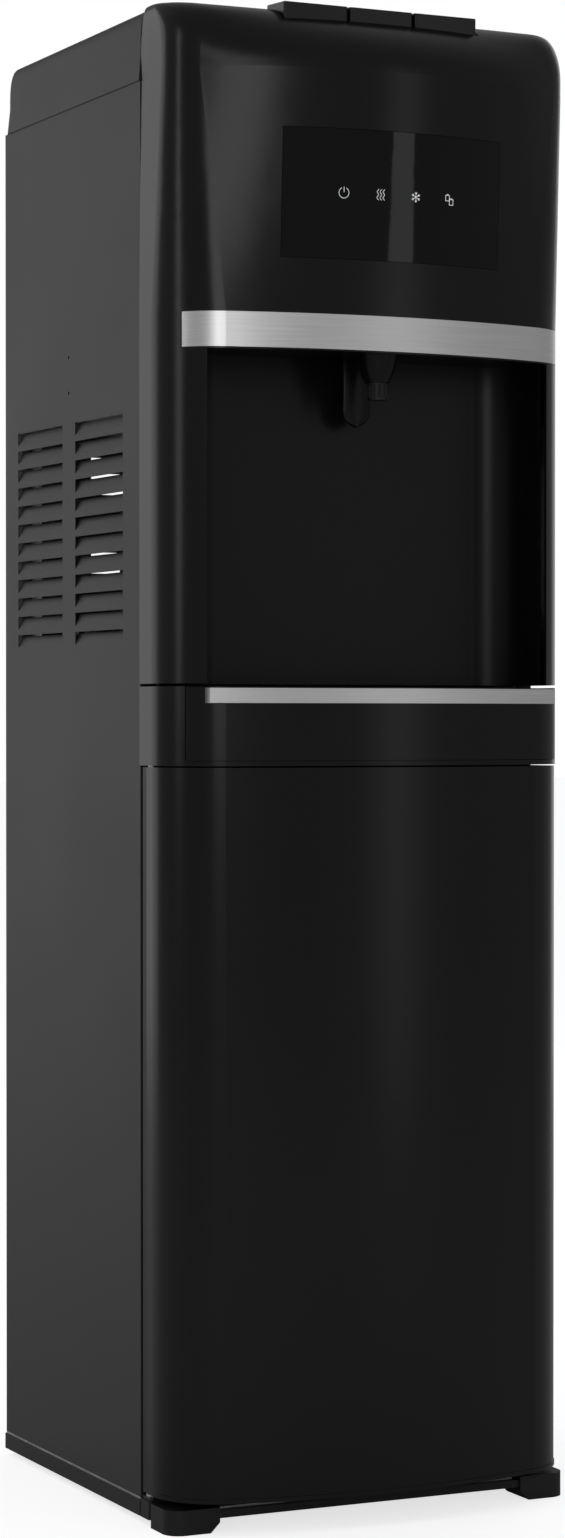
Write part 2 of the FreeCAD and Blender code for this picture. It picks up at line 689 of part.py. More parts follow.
def louvre_cut(y0, z0):
    """Through slot of one louvre in the left side panel."""
    return box(-SIDE_X - OVER, -SIDE_X + SHEET + OVER, y0, y0 + LOUVRE_W, z0, z0 + LOUVRE_H)


def louvre_blade(y0, z0):
    """Sheet pressed inwards: flush at the bottom bend, open along the top and the ends."""
    x = -SIDE_X
    low = z0 - LOUVRE_LAP
    high = z0 + LOUVRE_H - LOUVRE_SHORT
    profile = Part.makePolygon([V(x, y0, low), V(x + SHEET, y0, low), V(x + SHEET + LOUVRE_PUSH, y0, high),
                                V(x + LOUVRE_PUSH, y0, high), V(x, y0, low)])
    return Part.Face(profile).extrude(V(0, LOUVRE_W, 0))


def side_panel_left():
    x = -SIDE_X
    sheet = box(x, x + SHEET, SEAM, CASE_BACK, BASE_TOP, LID_BOTTOM)
    front = box(x, x + FLANGE, SEAM, SEAM + SHEET, BASE_TOP, LID_BOTTOM)
    rear = box(x, x + FLANGE, CASE_BACK - SHEET, CASE_BACK, BASE_TOP, LID_BOTTOM)
    panel = fuse([sheet, front, rear])
    cuts = []
    blades = []
    first = TOP - LOUVRE_DROP - LOUVRE_H
    for column in LOUVRE_COLUMNS:
        for row in range(LOUVRE_ROWS):
            z0 = first - row * LOUVRE_PITCH
            cuts.append(louvre_cut(SEAM + column, z0))
            blades.append(louvre_blade(SEAM + column, z0))
    middle = SEAM + (LOUVRE_COLUMNS[0] + LOUVRE_W + LOUVRE_COLUMNS[1]) / 2
    for rise in SIGHT_HOLE_RISES:
        cuts.append(rod_x(SIGHT_HOLE_R, x - OVER, x + SHEET + OVER, middle, first + LOUVRE_H + rise))
    return fuse([panel.cut(group(cuts))] + blades)


def rear_panel():
    sheet = box(-INSIDE_X, INSIDE_X, REAR_Y, REAR_FACE, BASE_TOP, LID_BOTTOM)
    y0 = REAR_Y - 1
    y1 = REAR_FACE + 1
    cuts = []
    for row in range(VENT_ROWS):
        z0 = TOP - LOUVRE_DROP - VENT_LOWER - row * VENT_PITCH
        for x0 in VENT_STARTS:
            cuts.append(box(x0, x0 + VENT_W, y0, y1, z0, z0 + VENT_H))
    wide = WELL_HALF_W + PANEL_HOLE_GAP
    tall = WELL_HALF_H + PANEL_HOLE_GAP
    cuts.append(box(SWITCH_X - wide, SWITCH_X + wide, y0, y1, SWITCH_Z - tall, SWITCH_Z + tall))
    wide = BUSH_NECK[0] + PANEL_HOLE_GAP
    tall = BUSH_NECK[1] + PANEL_HOLE_GAP
    cuts.append(box(CORD_X - wide, CORD_X + wide, y0, y1, CORD_Z - tall, CORD_Z + tall))
    cuts.append(rod_y(DRAIN_R + DRAIN_HOLE_GAP, y0, y1, DRAIN_X, DRAIN_Z))
    return sheet.cut(group(cuts))


def lid_ring(z, side, inner):
    """Plan wire of the lid: straight front edge and sides, two rounded rear corners."""
    half = HALF - side - inner
    back = BACK - side - inner
    front = SEAM + LID_SEAM_GAP + inner
    corner = LID_CORNER_R - 0.5 * inner
    k = corner * (1 - math.sqrt(0.5))
    return Part.Wire([
        Part.LineSegment(V(half, front, z), V(half, back - corner, z)).toShape(),
        Part.Arc(V(half, back - corner, z), V(half - k, back - k, z), V(half - corner, back, z)).toShape(),
        Part.LineSegment(V(half - corner, back, z), V(-half + corner, back, z)).toShape(),
        Part.Arc(V(-half + corner, back, z), V(-half + k, back - k, z),
                 V(-half, back - corner, z)).toShape(),
        Part.LineSegment(V(-half, back - corner, z), V(-half, front, z)).toShape(),
        Part.LineSegment(V(-half, front, z), V(half, front, z)).toShape(),
    ])


def lid_form(inner):
    """Outside form of the lid, or the same form moved inwards by a wall."""
    low = lid_ring(LID_BOTTOM - (1 if inner else 0), 0.0, inner)
    high = lid_ring(LID_TOP - LID_ROUND, top_inset(0), inner)
    sides = Part.makeLoft([low, high], True, True)
    rings = []
    for angle in TOP_STEPS:
        z = LID_TOP - LID_ROUND + (LID_ROUND - inner) * math.sin(math.radians(angle))
        rings.append(lid_ring(z, top_inset(angle), inner))
    return fuse([sides, Part.makeLoft(rings, True, False)])


def top_cover():
    """Moulded lid behind the fascia, open underneath, with a slight draft and a soft top edge."""
    return lid_form(0.0).cut(lid_form(SHELL))


# ---------------------------------------------------------------- fascia and what it carries
def lean_face(inset, z0, z1):
    """Solid behind the leaning front face, between two heights."""
    low = outline(z0, inset, lean_plan(z0))
    high = outline(z1, inset, lean_plan(z1))
    return Part.makeLoft([low, high], True, True)


def front_fascia():
    """Moulded front from the bay's foot to the rounded top, open at the seam."""
    shell = fascia_block(0.0).cut(fascia_block(SHELL, 20.0))
    y0 = SEAM - BULGE - 5
    niche = box(-NICHE_HALF, NICHE_HALF, y0, SEAM - 20, FASCIA_BOTTOM - OVER, BAND_BOTTOM - NICHE_LINTEL)
    x = WINDOW_W / 2 + WINDOW_GAP
    window = box(-x, x, y0, SEAM - 40, WINDOW_BOTTOM - WINDOW_GAP, WINDOW_TOP + WINDOW_GAP)
    skin = lean_face(-1.0, WINDOW_BOTTOM - 5, WINDOW_TOP + 5).cut(
        lean_face(WINDOW_T - 0.1, WINDOW_BOTTOM - 6, WINDOW_TOP + 6))
    x = WINDOW_W / 2 - WINDOW_SEAT
    aperture = box(-x, x, y0, SEAM - 40, WINDOW_BOTTOM + WINDOW_SEAT, WINDOW_TOP - WINDOW_SEAT)
    x = HALF - BAND_END + 0.5
    groove = curved_wall(BAND_BOTTOM - BAND_GAP, BAND_TOP + BAND_GAP, -1.0, BAND_SEAT + 0.1).common(
        box(-x, x, y0, SEAM - 25, BAND_BOTTOM - OVER, BAND_TOP + OVER))
    well = box(-WELL_X, WELL_X, WELL_FRONT, WELL_BACK, TOP - WELL_DEPTH, TOP + 5)
    return shell.cut(niche).cut(window.common(skin)).cut(aperture).cut(groove).cut(well)


def accent_band():
    x = HALF - BAND_END
    wall = curved_wall(BAND_BOTTOM, BAND_TOP, -BAND_PROUD, BAND_SEAT)
    return wall.common(box(-x, x, SEAM - BULGE - 5, SEAM - 30, BAND_BOTTOM - OVER, BAND_TOP + OVER))


def display_window():
    skin = lean_face(0.0, WINDOW_BOTTOM, WINDOW_TOP).cut(
        lean_face(WINDOW_T - 0.2, WINDOW_BOTTOM - OVER, WINDOW_TOP + OVER))
    x = WINDOW_W / 2
    return skin.common(box(-x, x, SEAM - BULGE - 5, SEAM - 40, WINDOW_BOTTOM, WINDOW_TOP))


def display_board():
    """Board behind the window with one lamp for each symbol."""
    y = SEAM - lean_plan(WINDOW_TOP - WINDOW_H / 2)[0] + BOARD_BEHIND
    board = box(-BOARD_W / 2, BOARD_W / 2, y, y + BOARD_T,
                WINDOW_BOTTOM + BOARD_EDGE, WINDOW_TOP - BOARD_EDGE)
    lamps = []
    for i in range(LAMPS):
        x = (i - (LAMPS - 1) / 2) * LAMP_PITCH
        lamps.append(rod_y(LAMP_R, y - LAMP_TALL, y, x, WINDOW_TOP - LAMP_DROP))
    return fuse([board] + lamps)


def button_centre(index):
    return (index - 1) * (BUTTON_W + BUTTON_GAP)


def button(index):
    """Hollow cap with a sloping top, and a stem that slides in the guide."""
    x = button_centre(index)
    y0 = SEAM - BUTTON_FRONT
    y1 = y0 + BUTTON_DEPTH
    z0 = HEIGHT - BUTTON_TALL
    half = BUTTON_W / 2
    cap = rounded_box(x - half, x + half, y0, y1, z0, HEIGHT, CAP_CORNER_R)
    start = V(x - BUTTON_W, y0 - 1, HEIGHT - BUTTON_SLOPE)
    wedge = Part.makePolygon([start, V(x - BUTTON_W, y1, HEIGHT), V(x - BUTTON_W, y1 + 1, HEIGHT + 5),
                              V(x - BUTTON_W, y0 - 1, HEIGHT + 5), start])
    cap = cap.cut(Part.Face(wedge).extrude(V(2 * BUTTON_W, 0, 0)))
    rim = [e for e in cap.Edges if min(v.Z for v in e.Vertexes) > HEIGHT - BUTTON_SLOPE - 0.5]
    cap = cap.makeFillet(CAP_EDGE_R, rim)
    inside = box(x - half + CAP_WALL, x + half - CAP_WALL, y0 + CAP_WALL, y1 - CAP_WALL,
                 z0 - OVER, BUTTON_CEILING)
    stem = rod(STEM_R, x, BUTTON_Y, GUIDE_FLOOR - STEM_BELOW, BUTTON_CEILING + 0.2)
    return fuse([cap.cut(inside), stem])


def button_guide():
    """Moulded tray under the fascia's top that guides the three stems."""
    y0 = WELL_FRONT + GUIDE_FRONT
    y1 = WELL_BACK + GUIDE_REAR
    x = WELL_X + GUIDE_SIDE
    floor = box(-x, x, y0, y1, GUIDE_FLOOR, GUIDE_FLOOR + GUIDE_T)
    rear = box(-x, x, y1 - GUIDE_WALL, y1, GUIDE_FLOOR, GUIDE_TOP)
    wall = box(-x, -x + GUIDE_WALL, y0 + GUIDE_OPEN, y1, GUIDE_FLOOR, GUIDE_TOP)
    low = GUIDE_FLOOR - OVER
    high = GUIDE_FLOOR + GUIDE_T + OVER
    holes = [rod(STEM_R + RUNNING, button_centre(i), BUTTON_Y, low, high) for i in range(3)]
    return fuse([floor, rear, wall, mirror_x(wall)]).cut(group(holes))


def button_spring(index):
    """Coil spring round the stem, each half turn a flat arc that meets the next one in line."""
    low = GUIDE_FLOOR + GUIDE_T + SPRING_WIRE_R + SPRING_END
    high = BUTTON_CEILING - SPRING_WIRE_R - SPRING_END
    pitch = (high - low) / SPRING_TURNS
    radius = STEM_R + SPRING_CLEAR
    reach = math.hypot(radius, pitch / 4)
    centre = V(button_centre(index), BUTTON_Y, 0)
    edges = []
    for half_turn in range(2 * SPRING_TURNS):
        side = 1 if half_turn % 2 == 0 else -1
        z = low + half_turn * pitch / 2
        edges.append(Part.Arc(centre + V(side * radius, 0, z),
                              centre + V(0, side * reach, z + pitch / 4),
                              centre + V(-side * radius, 0, z + pitch / 2)).toShape())
    section = Part.Circle(centre + V(radius, 0, low), V(0, 1, 0), SPRING_WIRE_R)
    return Part.Wire(edges).makePipeShell([Part.Wire([section.toShape()])], True, False)


def dispense_valves():
    """Three push valves under the buttons, each standing on a tube of the manifold."""
    parts = []
    for i in range(3):
        x = button_centre(i)
        low = VALVE_TOP - VALVE_STEM - VALVE_H
        parts.append(fuse([rod(VALVE_R, x, BUTTON_Y, low, low + VALVE_H),
                           rod(VALVE_STEM_R, x, BUTTON_Y, low + VALVE_H, VALVE_TOP),
                           rod_y(PORT_R, BUTTON_Y, BUTTON_Y + PORT_LENGTH, x, low + PORT_RISE)]))
    return group(parts)


def outlet_manifold():
    """Mixing block above the nozzle, with one tube down from each valve."""
    y = BUTTON_Y
    z0 = BAND_TOP + MANIFOLD_RISE
    z1 = z0 + MANIFOLD_H
    x = button_centre(2) + MANIFOLD_END
    block = box(-x, x, y - MANIFOLD_HALF_D, y + MANIFOLD_HALF_D, z0, z1)
    tubes = [rod(TUBE_R, button_centre(i), y, z1, VALVE_TOP - VALVE_STEM - VALVE_H) for i in range(3)]
    spout = box(-SPOUT_HALF, SPOUT_HALF, NOZZLE_Y - SPOUT_HALF, y - MANIFOLD_HALF_D, z0, z1)
    down = rod(DROP_TUBE_R, 0, NOZZLE_Y, NICHE_CEILING - TUBE_SEAT, z0)
    return fuse([block] + tubes + [spout, down])


def niche_plan(z, wall=0.0):
    """Plan wire of the niche, moved outwards by a wall."""
    half = NICHE_HALF - LINER_T + wall
    r = NICHE_CORNER_R + wall
    back = NICHE_BACK + wall
    front = SEAM - NICHE_MOUTH
    k = r * (1 - math.sqrt(0.5))
    return Part.Wire([
        Part.LineSegment(V(half, front, z), V(half, back - r, z)).toShape(),
        Part.Arc(V(half, back - r, z), V(half - k, back - k, z), V(half - r, back, z)).toShape(),
        Part.LineSegment(V(half - r, back, z), V(-half + r, back, z)).toShape(),
        Part.Arc(V(-half + r, back, z), V(-half + k, back - k, z), V(-half, back - r, z)).toShape(),
        Part.LineSegment(V(-half, back - r, z), V(-half, front, z)).toShape(),
        Part.LineSegment(V(-half, front, z), V(half, front, z)).toShape(),
    ])


def niche_liner():
    """Recessed back and sides of the dispensing bay with its ceiling and the paddle's ears."""
    tall = NICHE_CEILING - FASCIA_BOTTOM
    outer = Part.Face(niche_plan(FASCIA_BOTTOM, LINER_T)).extrude(V(0, 0, tall))
    inner = Part.Face(niche_plan(FASCIA_BOTTOM - OVER)).extrude(V(0, 0, tall + 2))
    mouth_y = SEAM - NICHE_MOUTH
    mouth = box(-HALF, HALF, mouth_y - 6, mouth_y + 0.1, FASCIA_BOTTOM - OVER, NICHE_CEILING + OVER)
    wall = outer.cut(inner).cut(mouth)
    z1 = NICHE_CEILING + LINER_T
    ceiling = slab(NICHE_CEILING, z1, SHELL + 1.2).common(
        box(-NICHE_HALF, NICHE_HALF, SEAM - BULGE, NICHE_BACK + LINER_T, NICHE_CEILING, z1))
    half = PADDLE_W / 2
    nozzle_hole = rod(DROP_TUBE_R + CEILING_GAP, 0, NOZZLE_Y, NICHE_CEILING - OVER, z1 + OVER)
    slot = box(-half - SLOT_SIDE, half + SLOT_SIDE, PADDLE_Y - SLOT_AHEAD, PADDLE_Y + SLOT_BEHIND,
               NICHE_CEILING - OVER, z1 + OVER)
    ear = box(half + EAR_GAP, half + EAR_GAP + EAR_T, PADDLE_Y - EAR_HALF, PADDLE_Y + EAR_HALF,
              z1 - 0.1, PIVOT_Z + EAR_HALF)
    pin_hole = rod_x(PADDLE_PIN_R, -PADDLE_W, PADDLE_W, PADDLE_Y, PIVOT_Z)
    shell_zone = curved_wall(BAND_BOTTOM - 1.5, z1 + OVER, -2.0, SHELL + 0.3)
    liner = fuse([wall, ceiling.cut(nozzle_hole).cut(slot), ear, mirror_x(ear)])
    return liner.cut(pin_hole).cut(shell_zone)


def nozzle_body():
    """Round shroud that narrows from the ceiling down to the outlet."""
    rings = []
    low_r = OUTLET_R + NOZZLE_LIP
    for share, widening in NOZZLE_TAPER:
        radius = low_r + widening * (NOZZLE_TOP_W / 2 - low_r)
        circle = Part.Circle(V(0, NOZZLE_Y, NOZZLE_BOTTOM + share * NOZZLE_H), V(0, 0, 1), radius)
        rings.append(Part.Wire([circle.toShape()]))
    bore = rod(NOZZLE_BORE_R, 0, NOZZLE_Y, NOZZLE_BOTTOM - OVER, NICHE_CEILING + OVER)
    return Part.makeLoft(rings, True, False).cut(bore)


def nozzle_outlet():
    """Fluted outlet that pushes up into the nozzle body."""
    low = NOZZLE_BOTTOM - OUTLET_LENGTH
    high = NICHE_CEILING - NECK_SHORT
    flutes = []
    for i in range(FLUTES):
        a = 2 * math.pi * (i + 0.5) / FLUTES
        x = OUTLET_R * math.cos(a)
        y = NOZZLE_Y + OUTLET_R * math.sin(a)
        flutes.append(rod(FLUTE_R, x, y, low + FLUTE_END, NOZZLE_BOTTOM - FLUTE_END))
    barrel = rod(OUTLET_R, 0, NOZZLE_Y, low, NOZZLE_BOTTOM).cut(group(flutes))
    neck = rod(OUTLET_NECK_R, 0, NOZZLE_Y, NOZZLE_BOTTOM, high)
    return fuse([barrel, neck]).cut(rod(OUTLET_NECK_R - OUTLET_WALL, 0, NOZZLE_Y, low - OVER, high + OVER))


def cup_paddle():
    """Tongue behind the nozzle that a cup pushes back, hung from a pin above the ceiling."""
    half = PADDLE_W / 2
    y0 = PADDLE_Y - PADDLE_T / 2
    low = PADDLE_END + half
    blade = box(-half, half, y0, y0 + PADDLE_T, low, PIVOT_Z)
    end = rod_y(half, y0, y0 + PADDLE_T, 0, low)
    rib = box(half - PADDLE_RIB, half, y0, y0 + PADDLE_RIB_D, low, PIVOT_Z)
    hub = rod_x(PADDLE_HUB_R, -half, half, PADDLE_Y, PIVOT_Z)
    bore = rod_x(PADDLE_PIN_R + RUNNING, -half - OVER, half + OVER, PADDLE_Y, PIVOT_Z)
    return fuse([blade, end, hub, rib, mirror_x(rib)]).cut(bore)


def paddle_pin():
    x = PADDLE_W / 2 + EAR_GAP + EAR_T + 1
    return rod_x(PADDLE_PIN_R, -x, x, PADDLE_Y, PIVOT_Z)


# ---------------------------------------------------------------- drip tray and its frame
def lower_front_frame():
    """Fixed frame under the fascia: curved rail, side posts and the shelf for the tray."""
    body = slab(FRAME_BOTTOM, FRAME_TOP)
    pocket = box(-TRAY_X, TRAY_X, SEAM - CROWN - 5, SEAM + OVER, TRAY_BOTTOM, FRAME_TOP + OVER)
    core = box(-HALF + SHELL, -TRAY_X - SHELL, SEAM - 30, SEAM + OVER, TRAY_BOTTOM, FRAME_TOP - 2)
    pin_hole = rod(HINGE_R, HINGE_X, HINGE_Y, FRAME_BOTTOM - OVER, FRAME_BOTTOM + PIN_SEAT)
    return body.cut(pocket).cut(group([core, mirror_x(core)])).cut(pin_hole)


def bay(z0, z1, shrink, inset):
    """Upright solid that fits under the dispensing bay: its plan shrunk all round."""
    niche = Part.Face(niche_plan(z0, -shrink)).extrude(V(0, 0, z1 - z0))
    half = NICHE_HALF - LINER_T - shrink
    ahead = box(-half, half, SEAM - CROWN, SEAM - NICHE_MOUTH + 0.5, z0, z1)
    return fuse([niche, ahead]).common(slab(z0, z1, inset))


def drip_tray():
    """Drawer with a curved front that slides forward out of the frame."""
    z0 = TRAY_BOTTOM + TRAY_LIFT
    z1 = FRAME_TOP - TRAY_TOP_GAP
    x = TRAY_X - PLAY
    front = curved_wall(z0, z1, -TRAY_PROUD, FRONT_WALL).common(
        box(-x, x, SEAM - CROWN - 5, SEAM - 15, z0, z1))
    tub = bay(z0, TUB_TOP, TUB_SHRINK, TUB_BEHIND_FRONT).cut(
        bay(z0 + TRAY_FLOOR, TUB_TOP + OVER, TUB_SHRINK + TRAY_WALL, TUB_BEHIND_FRONT + TUB_FRONT_WALL))
    return fuse([front, tub])


def tray_pull_bar():
    """Bright bar along the top of the tray front, a flatter curve than the tray."""
    z1 = FRAME_TOP - BAR_DROP
    x = HALF - BAR_SIDE
    dx = CORNER_R - BAR_SIDE
    ends_y = SEAM - CORNER_START - math.sqrt(CORNER_R ** 2 - dx ** 2) - BAR_PROUD
    mid_y = SEAM - CROWN - TRAY_PROUD - BAR_MIDDLE
    rear_y = SEAM - 50
    wire = Part.Wire([
        Part.Arc(V(x, ends_y, z1), V(0, mid_y, z1), V(-x, ends_y, z1)).toShape(),
        Part.LineSegment(V(-x, ends_y, z1), V(-x, rear_y, z1)).toShape(),
        Part.LineSegment(V(-x, rear_y, z1), V(x, rear_y, z1)).toShape(),
        Part.LineSegment(V(x, rear_y, z1), V(x, ends_y, z1)).toShape(),
    ])
    bar = Part.Face(wire).extrude(V(0, 0, -BAR_HEIGHT))
    return bar.cut(slab(z1 - BAR_HEIGHT - OVER, z1 + OVER, -TRAY_PROUD - BAR_FIT))


def drip_grille():
    """Slotted plate resting on the tub's rim, lifted out for cleaning."""
    rear = NICHE_BACK - GRILLE_REAR
    plate = bay(TUB_TOP, GRILLE_TOP, TUB_SHRINK + GRILLE_SIDE, GRILLE_BEHIND_FRONT)
    half = GRILLE_SLOT_W / 2
    slots = []
    for i in range(GRILLE_SLOTS):
        x = (i - GRILLE_SLOTS // 2) * GRILLE_PITCH
        slots.append(box(x - half, x + half, SEAM - GRILLE_FRONT, rear, TUB_TOP - OVER, GRILLE_TOP + OVER))
    wide, thick, drop = GRILLE_LEG
    legs = []
    for i in GRILLE_LEGS:
        x = i * GRILLE_PITCH
        legs.append(box(x - wide / 2, x + wide / 2, rear + GRILLE_LEG_GAP, rear + GRILLE_LEG_GAP + thick,
                        TUB_TOP - drop, TUB_TOP + OVER))
    return fuse([plate.cut(group(slots))] + legs)


# ---------------------------------------------------------------- door
def door_outer_panel():
    """Curved skin with short returns along its top and foot."""
    z0 = DOOR_BOTTOM
    z1 = DOOR_TOP
    inner = DOOR_THICK - RETURN_SHORT
    ahead = box(-HALF - OVER, HALF + OVER, SEAM - CROWN - 5, SEAM - LINER_BEHIND, z0 - 5, z1 + 5)
    skin = curved_wall(z0, z1, DOOR_INSET, DOOR_INSET + DOOR_SKIN)
    foot_rim = curved_wall(z0, z0 + DOOR_RIM, 0.0, inner)
    head_rim = curved_wall(z1 - DOOR_RIM, z1, DOOR_INSET, inner)
    bush = rod(HINGE_R + BOSS_WALL + 0.2, HINGE_X, HINGE_Y, z0 - 5, z1 + 5)
    return fuse([skin, foot_rim, head_rim]).common(ahead).cut(bush)


def door_liner():
    """Inner pan of the door with its rim and the hinge bushes."""
    z0 = DOOR_BOTTOM
    z1 = DOOR_TOP
    front = SEAM - LINER_BEHIND
    rim = slab(z0, z1, DOOR_INSET).common(box(-HALF, HALF, front, SEAM - DOOR_SEAM_GAP, z0, z1))
    x = HALF - DOOR_THICK
    rim = rim.cut(box(-x, x, front - OVER, SEAM, z0 + DOOR_THICK, z1 - DOOR_THICK))
    rear = [e for e in rim.Edges if abs(e.Vertexes[0].Z - e.Vertexes[1].Z) > 100
            and abs(e.Vertexes[0].X) > HALF - 1 and e.Vertexes[0].Y > SEAM - 4]
    rim = rim.makeFillet(DOOR_EDGE_R, rear)
    low = z0 + DOOR_RIM + 0.2
    high = z1 - DOOR_RIM - 0.2
    pan = curved_wall(low, high, DOOR_THICK - PAN_WALL, DOOR_THICK).common(
        box(-HALF, HALF, SEAM - CROWN, front + 0.1, z0, z1))
    keep = slab(z0, z1, DOOR_INSET + DOOR_SKIN + 0.02)
    bushes = [rod(HINGE_R + BOSS_WALL, HINGE_X, HINGE_Y, z0, z0 + BUSH_LENGTH).common(keep),
              rod(HINGE_R + BOSS_WALL, HINGE_X, HINGE_Y, z1 - BUSH_LENGTH, z1).common(keep)]
    bores = [rod(HINGE_R + RUNNING, HINGE_X, HINGE_Y, z0 - OVER, z0 + BUSH_BORE),
             rod(HINGE_R + RUNNING, HINGE_X, HINGE_Y, z1 - BUSH_BORE, z1 + OVER)]
    return fuse([rim, pan] + bushes).cut(group(bores))


def door_magnets():
    wide, deep, tall = MAGNET
    x = HALF - MAGNET_IN
    y0 = SEAM - DOOR_SEAM_GAP
    parts = []
    for z in (DOOR_BOTTOM + MAGNET_LOW, DOOR_TOP - MAGNET_HIGH):
        parts.append(box(x - wide / 2, x + wide / 2, y0, y0 + deep, z, z + tall))
    return group(parts)


def lower_hinge_bracket():
    """Flat steel bracket under the door; the upper pin sits in the frame itself."""
    x0 = -HALF + BRACKET_IN
    y1 = SEAM - BRACKET_BACK
    plate = rounded_box(x0, x0 + BRACKET_W, y1 - BRACKET_D, y1, BASE_TOP, BASE_TOP + BRACKET_T, SMALL_R)
    return plate.cut(rod(HINGE_R, HINGE_X, HINGE_Y, BASE_TOP - OVER, BASE_TOP + BRACKET_T + OVER))


def door_hinge_pins():
    lower = rod(HINGE_R, HINGE_X, HINGE_Y, BASE_TOP, DOOR_BOTTOM + PIN_REACH)
    washer = rod(HINGE_R + WASHER_RIM, HINGE_X, HINGE_Y, BASE_TOP + BRACKET_T, DOOR_BOTTOM - 0.4)
    upper = rod(HINGE_R, HINGE_X, HINGE_Y, DOOR_TOP - PIN_REACH, FRAME_BOTTOM + PIN_SEAT)
    return group([fuse([lower, washer]), upper])


# ---------------------------------------------------------------- bottle cabinet
def cabinet_liners():
    """Moulded lining of the bottle cabinet: two sides and a back with the probe's clips."""
    z0 = PLATFORM_TOP + 0.2
    z1 = SHELF_Z - 0.3
    left = box(-LINER_X, -LINER_X + LINING_T, SEAM + SHEET + 0.3, CABINET_BACK - LINING_CLEAR, z0, z1)
    back = box(-LINER_X, LINER_X, CABINET_BACK - LINING_T, CABINET_BACK, z0, z1)
    return group([left, mirror_x(left), fuse([back] + probe_clips())])


def bottle_platform():
    """Raised moulded floor of the cabinet on three skids, with two low ribs under the bottle."""
    x = LINER_X
    y0 = SEAM + SHEET + 0.3
    z0 = PLATFORM_TOP - PLATFORM_T
    floor = box(-x, x, y0, CABINET_BACK, z0, PLATFORM_TOP)
    half = RIB_W / 2
    rib = box(RIB_X - half, RIB_X + half, SEAM + RIB_SHORT, CABINET_BACK - RIB_SHORT,
              PLATFORM_TOP - 0.1, PLATFORM_TOP + RIB_TALL)
    half = SKID_W / 2
    skids = [box(middle - half, middle + half, y0, CABINET_BACK, BASE_TOP, z0 + 0.1)
             for middle in (SKID_IN - x, 0, x - SKID_IN)]
    return fuse([floor, rib, mirror_x(rib)] + skids)


def partition_shelf():
    """Steel shelf that carries the compressor, with a lip up its front edge."""
    y0 = SEAM + SHELF_BACK
    plate = box(-INSIDE_X, INSIDE_X, y0, REAR_Y - PANEL_GAP, SHELF_Z, SHELF_TOP)
    lip = box(-INSIDE_X, INSIDE_X, y0, y0 + PLATE, SHELF_Z, SHELF_Z + SHELF_LIP)
    hole = rod(HOSE_R + HOSE_HOLE_GAP, PROBE_X, PROBE_Y, SHELF_Z - OVER, SHELF_TOP + OVER)
    return fuse([plate, lip]).cut(hole)


def bottle_probe():
    """Suction probe with its bottle cap, parked on the cabinet's back wall."""
    z = PROBE_CAP_Z
    tube = rod(PROBE_R, PROBE_X, PROBE_Y, z - PROBE_LENGTH, z)
    tip_end = V(PROBE_X, PROBE_Y, z - PROBE_LENGTH - PROBE_TIP)
    tip = Part.makeCone(PROBE_TIP_R, PROBE_R, PROBE_TIP, tip_end, V(0, 0, 1))
    cap = rod(CAP_R, PROBE_X, PROBE_Y, z, z + CAP_H).cut(
        rod(CAP_R - CAP_SHELL, PROBE_X, PROBE_Y, z - OVER, z + CAP_H - CAP_WALL - OVER))
    web = rod(PROBE_R, PROBE_X, PROBE_Y, z - 2, z + CAP_H + 8)
    bore = rod(HOSE_R, PROBE_X, PROBE_Y, z - PROBE_LENGTH - PROBE_TIP - OVER, z + 30)
    return fuse([tube, tip, cap, web]).cut(bore)


def probe_clips():
    """Two-fingered clips on the back wall that hold the parked probe."""
    parts = []
    for drop in CLIP_DROPS:
        z0 = PROBE_CAP_Z - drop
        z1 = z0 + CLIP_H
        ring = rod(PROBE_R + CLIP_WALL, PROBE_X, PROBE_Y, z0, z1).cut(
            rod(PROBE_R + CLIP_GAP, PROBE_X, PROBE_Y, z0 - OVER, z1 + OVER))
        mouth = box(PROBE_X - CLIP_MOUTH, PROBE_X + CLIP_MOUTH, PROBE_Y - PROBE_R - 2 * CLIP_WALL,
                    PROBE_Y - CLIP_REACH, z0 - OVER, z1 + OVER)
        stalk = box(PROBE_X - CLIP_STALK, PROBE_X + CLIP_STALK, PROBE_Y + PROBE_R + CLIP_WALL / 2,
                    CABINET_BACK - LINING_T + 0.1, z0, z1)
        parts.append(fuse([ring.cut(mouth), stalk]))
    return parts


def probe_hose():
    """Soft hose from the probe's cap up through the shelf to the pump."""
    r = HOSE_R - HOSE_GAP
    low = PROBE_CAP_Z - HOSE_IN_PROBE
    high = SHELF_TOP + HOSE_OUT
    bore = rod(r - HOSE_WALL, PROBE_X, PROBE_Y, low - OVER, high + OVER)
    return rod(r, PROBE_X, PROBE_Y, low, high).cut(bore)


# ---------------------------------------------------------------- water and cooling parts
def hollow_tank(r, x, y, z0, z1):
    """Closed can with rounded ends."""
    can = rod(r, x, y, z0, z1)
    rim = [e for e in can.Edges if len(e.Vertexes) == 1]
    can = can.makeFillet(min(TANK_EDGE_R, r / 4), rim)
    end = TANK_WALL + TANK_END
    return can.cut(rod(r - TANK_WALL, x, y, z0 + end, z1 - end))


def cold_tank():
    return hollow_tank(COLD_R, COLD_X, TANKS_Y, TANK_Z + FOAM, TANK_Z + COLD_H - FOAM)


def cold_tank_foam():
    half = COLD_R + FOAM
    block = rounded_box(COLD_X - half, COLD_X + half, TANKS_Y - half, TANKS_Y + half,
                        TANK_Z, TANK_Z + COLD_H, FOAM_CORNER_R)
    return block.cut(rod(COLD_R + TANK_GAP, COLD_X, TANKS_Y, TANK_Z + FOAM, TANK_Z + COLD_H + OVER))


